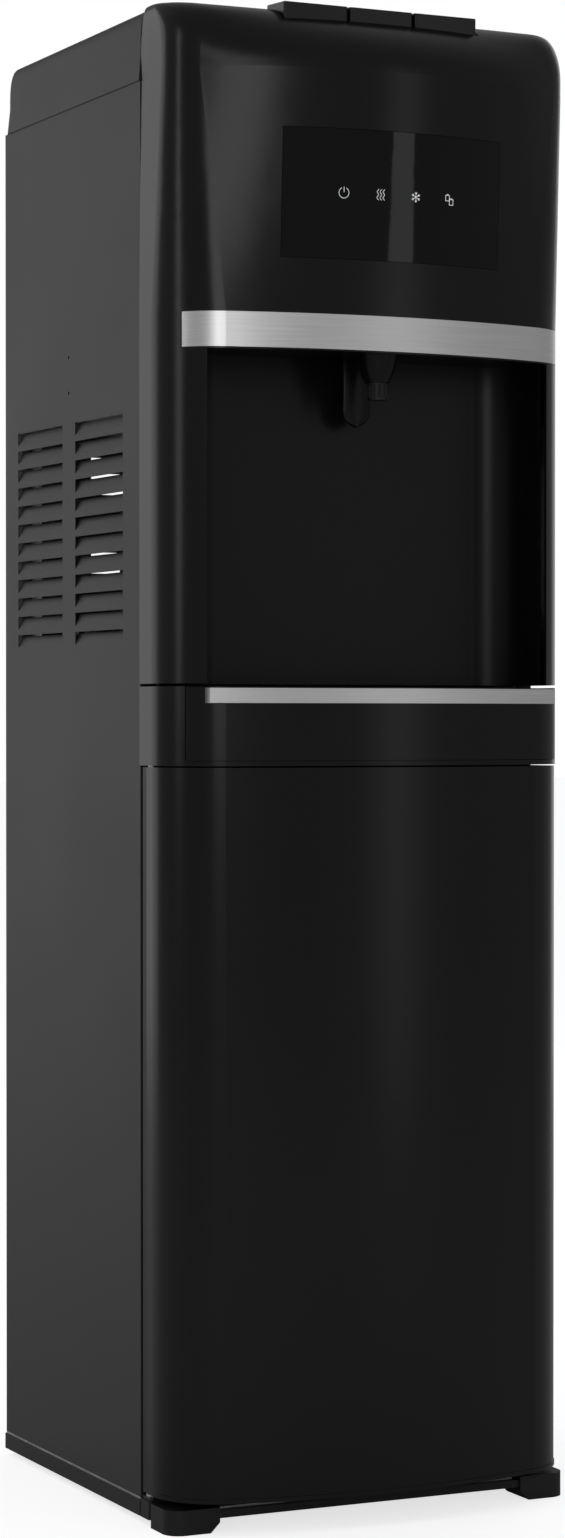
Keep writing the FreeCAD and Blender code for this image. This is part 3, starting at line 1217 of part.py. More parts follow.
def tank_shelf():
    """Upper steel shelf on four legs above the compressor, for the tanks."""
    plate = box(-INSIDE_X, INSIDE_X, SEAM + SHELF_BACK, REAR_Y - PANEL_GAP, TANK_Z - PLATE, TANK_Z)
    x = INSIDE_X - LOUVRE_PUSH - LEG_CLEAR
    legs = [box(s * x - LEG_T / 2, s * x + LEG_T / 2, y, y + LEG_D, SHELF_TOP, TANK_Z - PLATE)
            for s in (-1, 1) for y in (SEAM + 8, REAR_Y - 30)]
    hole = rod(HOT_R - SHELF_HOLE_SHRINK, HOT_X, TANKS_Y, TANK_Z - PLATE - OVER, TANK_Z + OVER)
    return fuse([plate] + legs).cut(hole)


def hot_tank():
    z0 = TANK_Z + JACKET
    tank = hollow_tank(HOT_R, HOT_X, TANKS_Y, z0, TANK_Z + HOT_H - JACKET)
    return fuse([tank, rod(DRAIN_PIPE_R, HOT_X, TANKS_Y, TANK_Z + OVER, z0 + 4)])


def hot_tank_jacket():
    jacket = rod(HOT_R + JACKET, HOT_X, TANKS_Y, TANK_Z, TANK_Z + HOT_H)
    core = rod(HOT_R + TANK_GAP, HOT_X, TANKS_Y, TANK_Z + JACKET, TANK_Z + HOT_H + OVER)
    bore = rod(DRAIN_PIPE_R + TANK_GAP, HOT_X, TANKS_Y, TANK_Z - OVER, TANK_Z + JACKET + OVER)
    return jacket.cut(core).cut(bore)


def compressor():
    """Domed steel can on a foot plate, with its relay box."""
    x = COMPRESSOR_X
    y = COMPRESSOR_Y
    z0 = COMPRESSOR_Z
    can = rod(COMPRESSOR_R, x, y, z0, z0 + COMPRESSOR_H)
    rims = [e for e in can.Edges if len(e.Vertexes) == 1]
    can = can.makeFillet(COMPRESSOR_EDGE_R, rims)
    core = rod(COMPRESSOR_R - COMPRESSOR_WALL, x, y,
               z0 + COMPRESSOR_DOME, z0 + COMPRESSOR_H - COMPRESSOR_DOME)
    half_w, half_d, foot_t = COMPRESSOR_FOOT
    foot = box(x - half_w, x + half_w, y - half_d, y + half_d, z0, z0 + foot_t)
    wide, half, tall = RELAY_BOX
    side = x + COMPRESSOR_R - RELAY_LAP
    relay_box = box(side, side + wide, y - half, y + half, z0 + RELAY_RISE, z0 + RELAY_RISE + tall)
    return fuse([can, foot, relay_box]).cut(core)


def compressor_mounts():
    dx, dy = MOUNT_SPREAD
    return group([rod(MOUNT_R, COMPRESSOR_X + s * dx, COMPRESSOR_Y + t * dy, SHELF_TOP, COMPRESSOR_Z)
                  for s in (-1, 1) for t in (-1, 1)])


def water_pump():
    """Small pump beside the hose: base, round motor, head and inlet port."""
    x = PROBE_X
    y = PROBE_Y - PUMP_AHEAD
    z = SHELF_TOP
    start, end, half, tall = PUMP_BASE
    base = box(x + start, x + end, y - half, y + half, z, z + tall)
    start, end, radius, rise = PUMP_MOTOR
    motor = rod_x(radius, x + start, x + end, y, z + rise)
    start, end, half, low, high = PUMP_HEAD
    head = box(x + start, x + end, y - half, y + half, z + low, z + high)
    start, end, half, low, high = PUMP_PORT
    port = box(x + start, x + end, PROBE_Y - half, PROBE_Y + half, z + low, z + high)
    return fuse([base, motor, head, port])


def condenser():
    """Serpentine tube with thin wires across it, on the back of the casing."""
    y = REAR_FACE + CONDENSER_BEHIND
    pitch = CONDENSER_PITCH
    line = []
    for i in range(CONDENSER_ROWS):
        z = CONDENSER_Z + i * pitch
        side = CONDENSER_HALF if i % 2 == 0 else -CONDENSER_HALF
        line.append(Part.LineSegment(V(-side, y, z), V(side, y, z)).toShape())
        if i < CONDENSER_ROWS - 1:
            bend = side + math.copysign(pitch / 2, side)
            line.append(Part.Arc(V(side, y, z), V(bend, y, z + pitch / 2), V(side, y, z + pitch)).toShape())
    section = Part.Circle(V(-CONDENSER_HALF, y, CONDENSER_Z), V(1, 0, 0), CONDENSER_TUBE_R)
    tube = Part.Wire(line).makePipeShell([Part.Wire([section.toShape()])], True, False)
    wires = []
    low = CONDENSER_Z - WIRE_PAST
    high = CONDENSER_Z + (CONDENSER_ROWS - 1) * pitch + WIRE_PAST
    for k in range(WIRES):
        xw = (k - WIRES // 2) * WIRE_PITCH
        for side in (-1, 1):
            wires.append(rod(WIRE_R, xw, y + side * (CONDENSER_TUBE_R + WIRE_OUT), low, high))
    return tube.multiFuse(wires)


def condenser_clips():
    half_w, deep, half_h = CLIP_SIZE
    notch_y, notch_z = CLIP_NOTCH
    parts = []
    for x in (CLIP_IN - CONDENSER_HALF, CONDENSER_HALF - CLIP_IN):
        for row in (0, CONDENSER_ROWS - 1):
            z = CONDENSER_Z + row * CONDENSER_PITCH
            clip = box(x - half_w, x + half_w, REAR_FACE, REAR_FACE + deep, z - half_h, z + half_h)
            notch = box(x - half_w - OVER, x + half_w + OVER, REAR_FACE + notch_y, REAR_FACE + deep + OVER,
                        z - notch_z, z + notch_z)
            parts.append(clip.cut(notch))
    return group(parts)


def control_board():
    """Board inside the back panel with its relays and a heatsink."""
    x1 = SIDE_X - SHEET - CONTROL_IN
    x0 = x1 - CONTROL_W
    y0 = REAR_Y - CONTROL_IN
    z0 = TANK_Z + CONTROL_RISE
    board = box(x0, x1, y0, y0 + BOARD_T, z0, z0 + CONTROL_H)
    wide, deep, tall = RELAY_SIZE
    relays = []
    for i in range(RELAYS):
        x = x0 + RELAY_START[0] + i * RELAY_PITCH
        z = z0 + RELAY_START[1]
        relays.append(box(x, x + wide, y0 - deep, y0, z, z + tall))
    wide, deep, tall = HEATSINK
    x = x0 + HEATSINK_START[0]
    z = z0 + HEATSINK_START[1]
    heatsink = box(x, x + wide, y0 - deep, y0, z, z + tall)
    side, rise, thick = POST
    post = box(x1 - side, x1 - side + thick, y0 + BOARD_T - 0.1, REAR_Y, z0 + rise, z0 + rise + thick)
    return fuse([board, heatsink, post] + relays)


# ---------------------------------------------------------------- rear fittings
def rear_switch_plate():
    """Plate with a well for two rockers, each on its own cross pin."""
    y0 = REAR_FACE
    wide = WELL_HALF_W + PLATE_RIM
    tall = WELL_HALF_H + PLATE_RIM
    plate = rounded_box(SWITCH_X - wide, SWITCH_X + wide, y0, y0 + PLATE_T,
                        SWITCH_Z - tall, SWITCH_Z + tall, PLATE_R)
    wide = WELL_HALF_W
    tall = WELL_HALF_H
    floor_y = REAR_Y - SWITCH_DEPTH
    well = rounded_box(SWITCH_X - wide, SWITCH_X + wide, floor_y, y0 + 1,
                       SWITCH_Z - tall, SWITCH_Z + tall, PLATE_R)
    wide -= SWITCH_WALL
    tall -= SWITCH_WALL
    core = box(SWITCH_X - wide, SWITCH_X + wide, floor_y + SWITCH_WALL, y0 + 4,
               SWITCH_Z - tall, SWITCH_Z + tall)
    body = fuse([plate, well]).cut(core)
    pieces = []
    reach = ROCKER_EAR + EAR_THIN / 2
    for x in (SWITCH_X - ROCKER_OFF, SWITCH_X + ROCKER_OFF):
        for s in (-1, 1):
            ear_x = x + s * ROCKER_EAR
            pieces.append(box(ear_x - EAR_THIN / 2, ear_x + EAR_THIN / 2, floor_y + OVER, REAR_Y,
                              SWITCH_Z - EAR_TALL, SWITCH_Z + EAR_TALL))
        pieces.append(rod_x(ROCKER_PIN_R, x - reach, x + reach, ROCKER_Y, SWITCH_Z))
    return fuse([body] + pieces)


def rocker(side):
    """Rocker key on a cross pin, resting with its lower half pressed in."""
    x0 = SWITCH_X + side * ROCKER_OFF - ROCKER_W / 2
    points = [V(x0, ROCKER_Y + y, SWITCH_Z + z) for y, z in ROCKER_PROFILE]
    key = Part.Face(Part.makePolygon(points + points[:1])).extrude(V(ROCKER_W, 0, 0))
    return key.cut(rod_x(ROCKER_PIN_R + RUNNING, x0 - OVER, x0 + ROCKER_W + OVER, ROCKER_Y, SWITCH_Z))


def drain_spigot():
    y0 = REAR_Y - DRAIN_INSIDE
    y1 = REAR_FACE + DRAIN_OUT
    pipe = rod_y(DRAIN_R, y0, y1, DRAIN_X, DRAIN_Z)
    collar = rod_y(DRAIN_R + COLLAR_RIM, REAR_FACE, REAR_FACE + COLLAR_T, DRAIN_X, DRAIN_Z)
    return fuse([pipe, collar]).cut(rod_y(DRAIN_R - DRAIN_WALL, y0 - OVER, y1 + OVER, DRAIN_X, DRAIN_Z))


def drain_cap():
    """Ribbed cap over the end of the spigot."""
    y0 = REAR_FACE + COLLAR_T + CAP_STANDOFF
    cap = rod_y(DRAIN_CAP_R, y0, y0 + DRAIN_CAP_L, DRAIN_X, DRAIN_Z)
    bore = rod_y(DRAIN_R + RUNNING, y0 - OVER, y0 + DRAIN_CAP_DEPTH, DRAIN_X, DRAIN_Z)
    notches = []
    for i in range(GRIPS):
        a = 2 * math.pi * i / GRIPS
        x = DRAIN_X + (DRAIN_CAP_R + GRIP_OUT) * math.cos(a)
        z = DRAIN_Z + (DRAIN_CAP_R + GRIP_OUT) * math.sin(a)
        notches.append(rod_y(GRIP_R, y0 + GRIP_START, y0 + DRAIN_CAP_L + OVER, x, z))
    return cap.cut(bore).cut(group(notches))


def cord_bush():
    """Bush in the back panel that a mains lead leaves through."""
    y0 = REAR_FACE
    wide, tall, inside = BUSH_NECK
    neck = box(CORD_X - wide, CORD_X + wide, REAR_Y - inside, y0 + OVER, CORD_Z - tall, CORD_Z + tall)
    rim, thick = BUSH_FLANGE
    wide += rim
    tall += rim
    flange = rounded_box(CORD_X - wide, CORD_X + wide, y0, y0 + thick,
                         CORD_Z - tall, CORD_Z + tall, BUSH_EDGE_R)
    gland = rod_y(CORD_BORE_R + GLAND_WALL, y0 + 2, y0 + GLAND_L, CORD_X, CORD_Z)
    bore = rod_y(CORD_BORE_R, REAR_Y - inside - OVER, y0 + GLAND_L + OVER, CORD_X, CORD_Z)
    return fuse([flange, neck, gland]).cut(bore)


def casing_screws():
    """Pan-head screws of the back panel."""
    x = SIDE_X - SHEET - SCREW_IN
    step = (LID_BOTTOM - BASE_TOP - 2 * SCREW_ENDS) / (SCREWS - 1)
    return group([rod_y(SCREW_R, REAR_FACE, REAR_FACE + SCREW_T, s * x, BASE_TOP + SCREW_ENDS + i * step)
                  for s in (-1, 1) for i in range(SCREWS)])


NODES = {
    "base_pan": base_pan,
    "base_skirts": base_skirts,
    "front_plinths": front_plinths,
    "front_feet": front_feet,
    "front_cross_beam": front_cross_beam,
    "rear_feet": rear_feet,
    "left_side_panel": side_panel_left,
    "right_side_panel": lambda: mirror_x(side_panel_left()),
    "rear_panel": rear_panel,
    "top_cover": top_cover,
    "front_fascia": front_fascia,
    "accent_band": accent_band,
    "display_window": display_window,
    "display_board": display_board,
    "hot_button": lambda: button(0),
    "ambient_button": lambda: button(1),
    "cold_button": lambda: button(2),
    "hot_button_spring": lambda: button_spring(0),
    "ambient_button_spring": lambda: button_spring(1),
    "cold_button_spring": lambda: button_spring(2),
    "button_guide": button_guide,
    "dispense_valves": dispense_valves,
    "outlet_manifold": outlet_manifold,
    "niche_liner": niche_liner,
    "nozzle_body": nozzle_body,
    "nozzle_outlet": nozzle_outlet,
    "cup_paddle": cup_paddle,
    "paddle_pin": paddle_pin,
    "lower_front_frame": lower_front_frame,
    "drip_tray": drip_tray,
    "tray_pull_bar": tray_pull_bar,
    "drip_grille": drip_grille,
    "door_outer_panel": door_outer_panel,
    "door_liner": door_liner,
    "door_magnets": door_magnets,
    "lower_hinge_bracket": lower_hinge_bracket,
    "door_hinge_pins": door_hinge_pins,
    "cabinet_liners": cabinet_liners,
    "bottle_platform": bottle_platform,
    "partition_shelf": partition_shelf,
    "bottle_probe": bottle_probe,
    "probe_hose": probe_hose,
    "cold_tank": cold_tank,
    "cold_tank_foam": cold_tank_foam,
    "tank_shelf": tank_shelf,
    "hot_tank": hot_tank,
    "hot_tank_jacket": hot_tank_jacket,
    "compressor": compressor,
    "compressor_mounts": compressor_mounts,
    "water_pump": water_pump,
    "condenser": condenser,
    "condenser_clips": condenser_clips,
    "control_board": control_board,
    "rear_switch_plate": rear_switch_plate,
    "hot_switch": lambda: rocker(-1),
    "cold_switch": lambda: rocker(1),
    "drain_spigot": drain_spigot,
    "drain_cap": drain_cap,
    "cord_bush": cord_bush,
    "casing_screws": casing_screws,
}

if __name__ == "__main__":
    os.makedirs("parts", exist_ok=True)
    for name, make in NODES.items():
        shape = make()
        if not shape.isValid():
            print("invalid shape:", name)
        shape.exportStep("parts/" + name + ".step")
        print(name, len(shape.Solids), round(shape.Volume / 1000, 1))
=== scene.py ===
import json
import math

import bpy
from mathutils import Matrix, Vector


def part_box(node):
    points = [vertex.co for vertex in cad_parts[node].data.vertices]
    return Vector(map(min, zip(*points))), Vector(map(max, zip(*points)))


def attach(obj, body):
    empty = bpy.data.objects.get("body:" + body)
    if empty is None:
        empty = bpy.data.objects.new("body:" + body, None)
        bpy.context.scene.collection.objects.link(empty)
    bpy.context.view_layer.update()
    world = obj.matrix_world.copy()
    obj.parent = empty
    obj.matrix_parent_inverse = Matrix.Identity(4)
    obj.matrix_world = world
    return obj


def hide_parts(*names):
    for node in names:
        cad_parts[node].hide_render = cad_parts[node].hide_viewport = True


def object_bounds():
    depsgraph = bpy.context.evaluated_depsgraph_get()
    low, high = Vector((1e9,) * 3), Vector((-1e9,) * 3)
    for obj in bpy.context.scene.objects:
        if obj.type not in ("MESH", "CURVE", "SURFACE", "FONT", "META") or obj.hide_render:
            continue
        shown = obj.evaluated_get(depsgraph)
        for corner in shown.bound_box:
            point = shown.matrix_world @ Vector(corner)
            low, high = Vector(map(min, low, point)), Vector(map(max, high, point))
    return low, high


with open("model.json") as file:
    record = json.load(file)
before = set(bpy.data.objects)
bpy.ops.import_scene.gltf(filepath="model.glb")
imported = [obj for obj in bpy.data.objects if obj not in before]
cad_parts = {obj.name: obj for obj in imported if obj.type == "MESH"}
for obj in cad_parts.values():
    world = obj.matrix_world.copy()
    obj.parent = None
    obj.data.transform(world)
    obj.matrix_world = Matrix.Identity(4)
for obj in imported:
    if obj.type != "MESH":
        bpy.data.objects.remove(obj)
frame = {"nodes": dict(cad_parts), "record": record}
CAD_LOW, CAD_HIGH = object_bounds()

MM = 0.001

# Camera: where it stands, how far it is turned towards +X, how far it looks down.
CAMERA_AT = Vector((-1.1358, -2.3809, 0.5569))
CAMERA_TURN = math.radians(25.37)
CAMERA_DOWN = math.radians(0.73)
CAMERA_LENS = 84.1

# Studio. The lift makes the floor, as the camera sees it, about as pale as the backdrop.
WHITE = (1.0, 1.0, 1.0, 1.0)
BACKDROP = 1.0
ROOM_LIGHT = 0.27
FLOOR_SIZE = 60.0
FLOOR_COLOUR = (0.90, 0.90, 0.90, 1.0)
FLOOR_LIFT = 0.72

# Soft boxes: place, the point each faces, width, height and surface brightness.
SOFT_BOXES = {
    "back_left_box": ((-1.7, 3.4, 1.1), (0, 0, 0.6), 2.6, 2.8, 0.75),
    "back_right_box": ((2.6, 2.0, 1.1), (0, 0, 0.6), 1.6, 2.8, 0.55),
    "left_strip": ((-2.7, -0.25, 1.5), (0, 0, 0.8), 0.45, 1.9, 1.9),
    "front_left_box": ((-1.0, -3.0, 1.25), (0, 0, 0.9), 0.95, 1.3, 2.3),
    "front_right_strip": ((1.45, -2.9, 1.1), (0, 0, 0.8), 0.34, 2.2, 0.9),
}

# Symbols on the window.
SYMBOL_PITCH = 27.2 * MM
SYMBOL_DROP = 43.3 * MM
SYMBOL_R = 3.6 * MM
STROKE = 0.38 * MM
SYMBOL_DEPTH = 0.16 * MM
RAY_START = 0.05           # how far in front of the machine the rays to the window begin

# Cup paddle: its tongue's set-back and thickness, the rim at the sides and the curve down it, and
# the hub that turns on the pin.
TONGUE_SET = 2.6 * MM
TONGUE_T = 2.6 * MM
TONGUE_TOP = 5.0 * MM
TONGUE_TIP = 0.05
RIM_RISE = 1.6 * MM
TONGUE_BOW = 1.2 * MM
HUB_R = 3.9 * MM
HUB_DROP = 4.5 * MM
HUB_EDGE = 0.4 * MM

# Back panel screws: five down each side of the panel.
SCREW_ROWS = 5
SCREW_R = 3.4 * MM
SCREW_H = 1.8 * MM
SOCKET_RIM = 1.7 * MM
SOCKET_DEEP = 0.9 * MM
SCREW_EDGE = 0.35 * MM


# ---------------------------------------------------------------- modelling helpers
def pick(piece):
    """Select one object only and make it active."""
    bpy.ops.object.select_all(action="DESELECT")
    piece.select_set(True)
    bpy.context.view_layer.objects.active = piece


def settle(piece, name):
    """Put the piece's place into its mesh and name it."""
    pick(piece)
    bpy.ops.object.transform_apply(location=True, rotation=True, scale=True)
    piece.name = name
    piece.data.name = name
    return piece


def block(name, low, high):
    """A box primitive between two corners."""
    low = Vector(low)
    high = Vector(high)
    bpy.ops.object.select_all(action="DESELECT")
    bpy.ops.mesh.primitive_cube_add(size=1.0, location=(low + high) / 2, scale=high - low)
    return settle(bpy.context.object, name)


def drum(name, centre, radius, depth, sides, axis):
    """A cylinder primitive about one of the frame's axes."""
    turns = {"X": (0, math.pi / 2, 0), "Y": (math.pi / 2, 0, 0), "Z": (0, 0, 0)}
    bpy.ops.object.select_all(action="DESELECT")
    bpy.ops.mesh.primitive_cylinder_add(vertices=sides, radius=radius, depth=depth, location=centre,
                                        rotation=turns[axis])
    return settle(bpy.context.object, name)


def choose(piece, kind, test):
    """In edit mode, select the piece's vertices, edges or faces that pass a test."""
    pick(piece)
    bpy.ops.object.mode_set(mode="EDIT")
    bpy.ops.mesh.select_mode(type=kind)
    bpy.ops.mesh.select_all(action="DESELECT")
    bpy.ops.object.mode_set(mode="OBJECT")
    parts = {"VERT": piece.data.vertices, "EDGE": piece.data.edges, "FACE": piece.data.polygons}[kind]
    for part in parts:
        part.select = test(part)
    bpy.ops.object.mode_set(mode="EDIT")


def leave_edit():
    bpy.ops.object.mode_set(mode="OBJECT")


def bevel(piece, width, segments=2, angle=30):
    pick(piece)
    step = piece.modifiers.new("edges", "BEVEL")
    step.width = width
    step.segments = segments
    step.limit_method = "ANGLE"
    step.angle_limit = math.radians(angle)
    bpy.ops.object.modifier_apply(modifier=step.name)
    bpy.ops.object.shade_smooth_by_angle(angle=math.radians(40))


def subdivide(piece, cuts):
    choose(piece, "FACE", lambda face: True)
    bpy.ops.mesh.subdivide(number_cuts=cuts)
    leave_edit()


def join(pieces, name):
    bpy.ops.object.select_all(action="DESELECT")
    for piece in pieces:
        piece.select_set(True)
    bpy.context.view_layer.objects.active = pieces[0]
    bpy.ops.object.join()
    return settle(bpy.context.object, name)


# ---------------------------------------------------------------- finishes
def new_finish(name, roughness, metallic=0.0, specular=0.5):
    material = bpy.data.materials.new(name)
    material.use_nodes = True
    shader = material.node_tree.nodes["Principled BSDF"]
    shader.inputs["Roughness"].default_value = roughness
    shader.inputs["Metallic"].default_value = metallic
    shader.inputs["Specular IOR Level"].default_value = specular
    return material, material.node_tree.nodes, material.node_tree.links, shader


def pattern(nodes, links, kind, scale, stretch=(1, 1, 1), detail=3.0):
    """A texture on the piece's own coordinates, stretched along the frame's axes."""
    place = nodes.new("ShaderNodeTexCoord")
    mapping = nodes.new("ShaderNodeMapping")
    mapping.inputs["Scale"].default_value = stretch
    texture = nodes.new(kind)
    texture.inputs["Scale"].default_value = scale
    if kind == "ShaderNodeTexNoise":
        texture.inputs["Detail"].default_value = detail
    links.new(place.outputs["Object"], mapping.inputs["Vector"])
    links.new(mapping.outputs["Vector"], texture.inputs["Vector"])
    return texture


def tint(nodes, links, value, shader, dark, light, low=0.3, high=0.7):
    """Colour that runs between two shades with a pattern."""
    ramp = nodes.new("ShaderNodeValToRGB")
    ramp.color_ramp.elements[0].position = low
    ramp.color_ramp.elements[0].color = (*dark, 1.0)
    ramp.color_ramp.elements[1].position = high
    ramp.color_ramp.elements[1].color = (*light, 1.0)
    links.new(value, ramp.inputs["Fac"])
    links.new(ramp.outputs["Color"], shader.inputs["Base Color"])


def vary_roughness(nodes, links, value, shader, low, high):
    spread = nodes.new("ShaderNodeMapRange")
    spread.inputs["To Min"].default_value = low
    spread.inputs["To Max"].default_value = high
    links.new(value, spread.inputs["Value"])
    links.new(spread.outputs["Result"], shader.inputs["Roughness"])


def relief(nodes, links, value, shader, depth, strength=1.0):
    bump = nodes.new("ShaderNodeBump")
    bump.inputs["Distance"].default_value = depth
    bump.inputs["Strength"].default_value = strength
    links.new(value, bump.inputs["Height"])
    links.new(bump.outputs["Normal"], shader.inputs["Normal"])


def moulded(name, dark, light, rough, grain=1400, depth=0.02 * MM, specular=0.5):
    """Moulded plastic with a fine texture and slow changes of sheen."""
    material, nodes, links, shader = new_finish(name, sum(rough) / 2, specular=specular)
    fine = pattern(nodes, links, "ShaderNodeTexNoise", grain, detail=2.0)
    broad = pattern(nodes, links, "ShaderNodeTexNoise", 9, detail=3.0)
    tint(nodes, links, broad.outputs["Fac"], shader, dark, light)
    vary_roughness(nodes, links, broad.outputs["Fac"], shader, *rough)
    relief(nodes, links, fine.outputs["Fac"], shader, depth)
    return material


def brushed(name, dark, light, rough, stretch, depth=0.01 * MM):
    """Metal brushed along the axis with the smallest stretch."""
    material, nodes, links, shader = new_finish(name, sum(rough) / 2, metallic=1.0)
    lines = pattern(nodes, links, "ShaderNodeTexNoise", 60, stretch, detail=6.0)
    tint(nodes, links, lines.outputs["Fac"], shader, dark, light)
    vary_roughness(nodes, links, lines.outputs["Fac"], shader, *rough)
    relief(nodes, links, lines.outputs["Fac"], shader, depth)
    return material


def cellular(name, dark, light, rough, scale, depth, metallic=0.0):
    """Surface of small cells, as on foam or galvanised sheet."""
    material, nodes, links, shader = new_finish(name, sum(rough) / 2, metallic=metallic)
    cells = pattern(nodes, links, "ShaderNodeTexVoronoi", scale)
    grey = nodes.new("ShaderNodeSeparateColor")
    links.new(cells.outputs["Color"], grey.inputs["Color"])
    tint(nodes, links, grey.outputs["Red"], shader, dark, light, 0.0, 1.0)
    vary_roughness(nodes, links, grey.outputs["Green"], shader, *rough)
    relief(nodes, links, cells.outputs["Distance"], shader, depth)
    return material


def casing_paint():
    """Satin stoved paint with a slight orange peel."""
    return moulded("casing_paint", (0.030, 0.030, 0.031), (0.034, 0.034, 0.035), (0.46, 0.54),
                   grain=520, depth=0.03 * MM, specular=0.32)


def lid_plastic():
    return moulded("lid_plastic", (0.030, 0.030, 0.031), (0.034, 0.034, 0.035), (0.46, 0.54),
                   specular=0.32)


def front_black():
    return moulded("front_black", (0.0042, 0.0042, 0.0044), (0.0052, 0.0052, 0.0054), (0.21, 0.25),
                   grain=1800, depth=0.008 * MM, specular=0.3)


def bay_black():
    return moulded("bay_black", (0.0035, 0.0035, 0.0037), (0.0045, 0.0045, 0.0047), (0.30, 0.36),
                   grain=1800, depth=0.008 * MM, specular=0.22)


def window_black():
    material, nodes, links, shader = new_finish("window_black", 0.04, specular=0.3)
    film = pattern(nodes, links, "ShaderNodeTexNoise", 14)
    tint(nodes, links, film.outputs["Fac"], shader, (0.0006, 0.0006, 0.0008), (0.0012, 0.0012, 0.0014))
    vary_roughness(nodes, links, film.outputs["Fac"], shader, 0.03, 0.06)
    return material


def silver_trim():
    return brushed("silver_trim", (0.72, 0.72, 0.73), (0.82, 0.82, 0.83), (0.32, 0.42), (0.25, 1, 22))


def stainless():
    return brushed("stainless", (0.48, 0.48, 0.48), (0.62, 0.62, 0.61), (0.22, 0.36), (1, 1, 16))


def steel_pin():
    return brushed("steel_pin", (0.60, 0.60, 0.61), (0.70, 0.70, 0.71), (0.14, 0.24), (6, 6, 6))


def zinc_sheet():
    return cellular("zinc_sheet", (0.36, 0.37, 0.38), (0.54, 0.55, 0.56), (0.30, 0.50), 95, 0.01 * MM, 0.85)


def white_foam():
    return cellular("white_foam", (0.70, 0.70, 0.67), (0.84, 0.84, 0.81), (0.80, 0.92), 260, 0.5 * MM)


def black_plastic():
    return moulded("black_plastic", (0.009, 0.009, 0.0095), (0.014, 0.014, 0.0145), (0.44, 0.56),
                   specular=0.35)


def liner_grey():
    return moulded("liner_grey", (0.36, 0.37, 0.38), (0.44, 0.45, 0.46), (0.42, 0.52))


def black_metal():
    return moulded("black_metal", (0.010, 0.010, 0.011), (0.020, 0.020, 0.021), (0.30, 0.46),
                   grain=320, depth=0.06 * MM)


def rubber_black():
    return moulded("rubber_black", (0.012, 0.012, 0.012), (0.022, 0.022, 0.022), (0.74, 0.88),
                   grain=700, depth=0.06 * MM, specular=0.25)


def silicone():
    material = moulded("silicone", (0.66, 0.67, 0.68), (0.76, 0.77, 0.78), (0.26, 0.36))
    shader = material.node_tree.nodes["Principled BSDF"]
    shader.inputs["Subsurface Weight"].default_value = 0.35
    shader.inputs["Subsurface Radius"].default_value = (3 * MM, 3 * MM, 3 * MM)
    return material


def white_plastic():
    return moulded("white_plastic", (0.72, 0.72, 0.71), (0.80, 0.80, 0.79), (0.34, 0.44))


def circuit_board():
    """Green solder mask with copper runs showing through it."""
    material, nodes, links, shader = new_finish("circuit_board", 0.34)
    runs = pattern(nodes, links, "ShaderNodeTexBrick", 95)
    runs.inputs["Color1"].default_value = (0.012, 0.085, 0.030, 1.0)
    runs.inputs["Color2"].default_value = (0.014, 0.100, 0.036, 1.0)
    runs.inputs["Mortar"].default_value = (0.040, 0.200, 0.080, 1.0)
    runs.inputs["Mortar Size"].default_value = 0.03
    links.new(runs.outputs["Color"], shader.inputs["Base Color"])
    relief(nodes, links, runs.outputs["Fac"], shader, 0.04 * MM)
    return material


def switch_red():
    return moulded("switch_red", (0.36, 0.012, 0.012), (0.44, 0.018, 0.018), (0.18, 0.26))


def switch_green():
    return moulded("switch_green", (0.010, 0.20, 0.050), (0.016, 0.26, 0.070), (0.18, 0.26))


def symbol_print():
    """Pale symbols lit softly from behind."""
    material = moulded("symbol_print", (0.62, 0.63, 0.64), (0.70, 0.71, 0.72), (0.40, 0.50))
    shader = material.node_tree.nodes["Principled BSDF"]
    shader.inputs["Emission Color"].default_value = (0.92, 0.96, 1.0, 1.0)
    shader.inputs["Emission Strength"].default_value = 0.45
    return material


FINISHES = (casing_paint, lid_plastic, front_black, bay_black, window_black, silver_trim, stainless,
            steel_pin, zinc_sheet, white_foam, black_plastic, liner_grey, black_metal, rubber_black,
            silicone, white_plastic, circuit_board, switch_red, switch_green)
finishes = {make.__name__: make() for make in FINISHES}
slot_of = {row["node"]: row["material_slot"] for row in frame["record"]["subparts"]}


def coat(piece, material):
    piece.data.materials.clear()
    piece.data.materials.append(material)


for node, cad_object in frame["nodes"].items():
    coat(cad_object, finishes[slot_of[node]])


def add_piece(piece, body, slot, material=None):
    """Finish a new piece, from its slot unless a material is given, and hang it on its body."""
    coat(piece, material or finishes[slot])
    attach(piece, body)
    return piece


# ---------------------------------------------------------------- symbols on the window
def bar(centre, length, turn):
    """A thin upright stroke in the XZ plane, turned about Y."""
    bpy.ops.object.select_all(action="DESELECT")
    bpy.ops.mesh.primitive_cube_add(size=1.0, location=(centre[0], 0, centre[1]), rotation=(0, turn, 0),
                                    scale=(STROKE, SYMBOL_DEPTH, length))
    piece = settle(bpy.context.object, "stroke")
    subdivide(piece, 3)
    return piece


def hoop(centre, radius, keep=None):
    """A flat ring in the XZ plane; keep says which of its vertices stay."""
    bpy.ops.object.select_all(action="DESELECT")
    bpy.ops.mesh.primitive_torus_add(location=(centre[0], 0, centre[1]), rotation=(math.pi / 2, 0, 0),
                                     major_radius=radius, minor_radius=STROKE / 2,
                                     major_segments=40, minor_segments=8)
    piece = settle(bpy.context.object, "hoop")
    if keep:
        choose(piece, "VERT", lambda vertex: not keep(vertex.co))
        bpy.ops.mesh.delete(type="VERT")
        bpy.ops.mesh.select_all(action="SELECT")
        bpy.ops.mesh.fill_holes(sides=12)
        leave_edit()
    for vertex in piece.data.vertices:
        vertex.co.y *= SYMBOL_DEPTH / STROKE
    return piece


def power_symbol():
    ring = hoop((0, 0), SYMBOL_R, lambda co: co.z < SYMBOL_R * 0.6 or abs(co.x) > SYMBOL_R * 0.36)
    return [ring, bar((0, SYMBOL_R * 0.62), SYMBOL_R * 1.05, 0)]


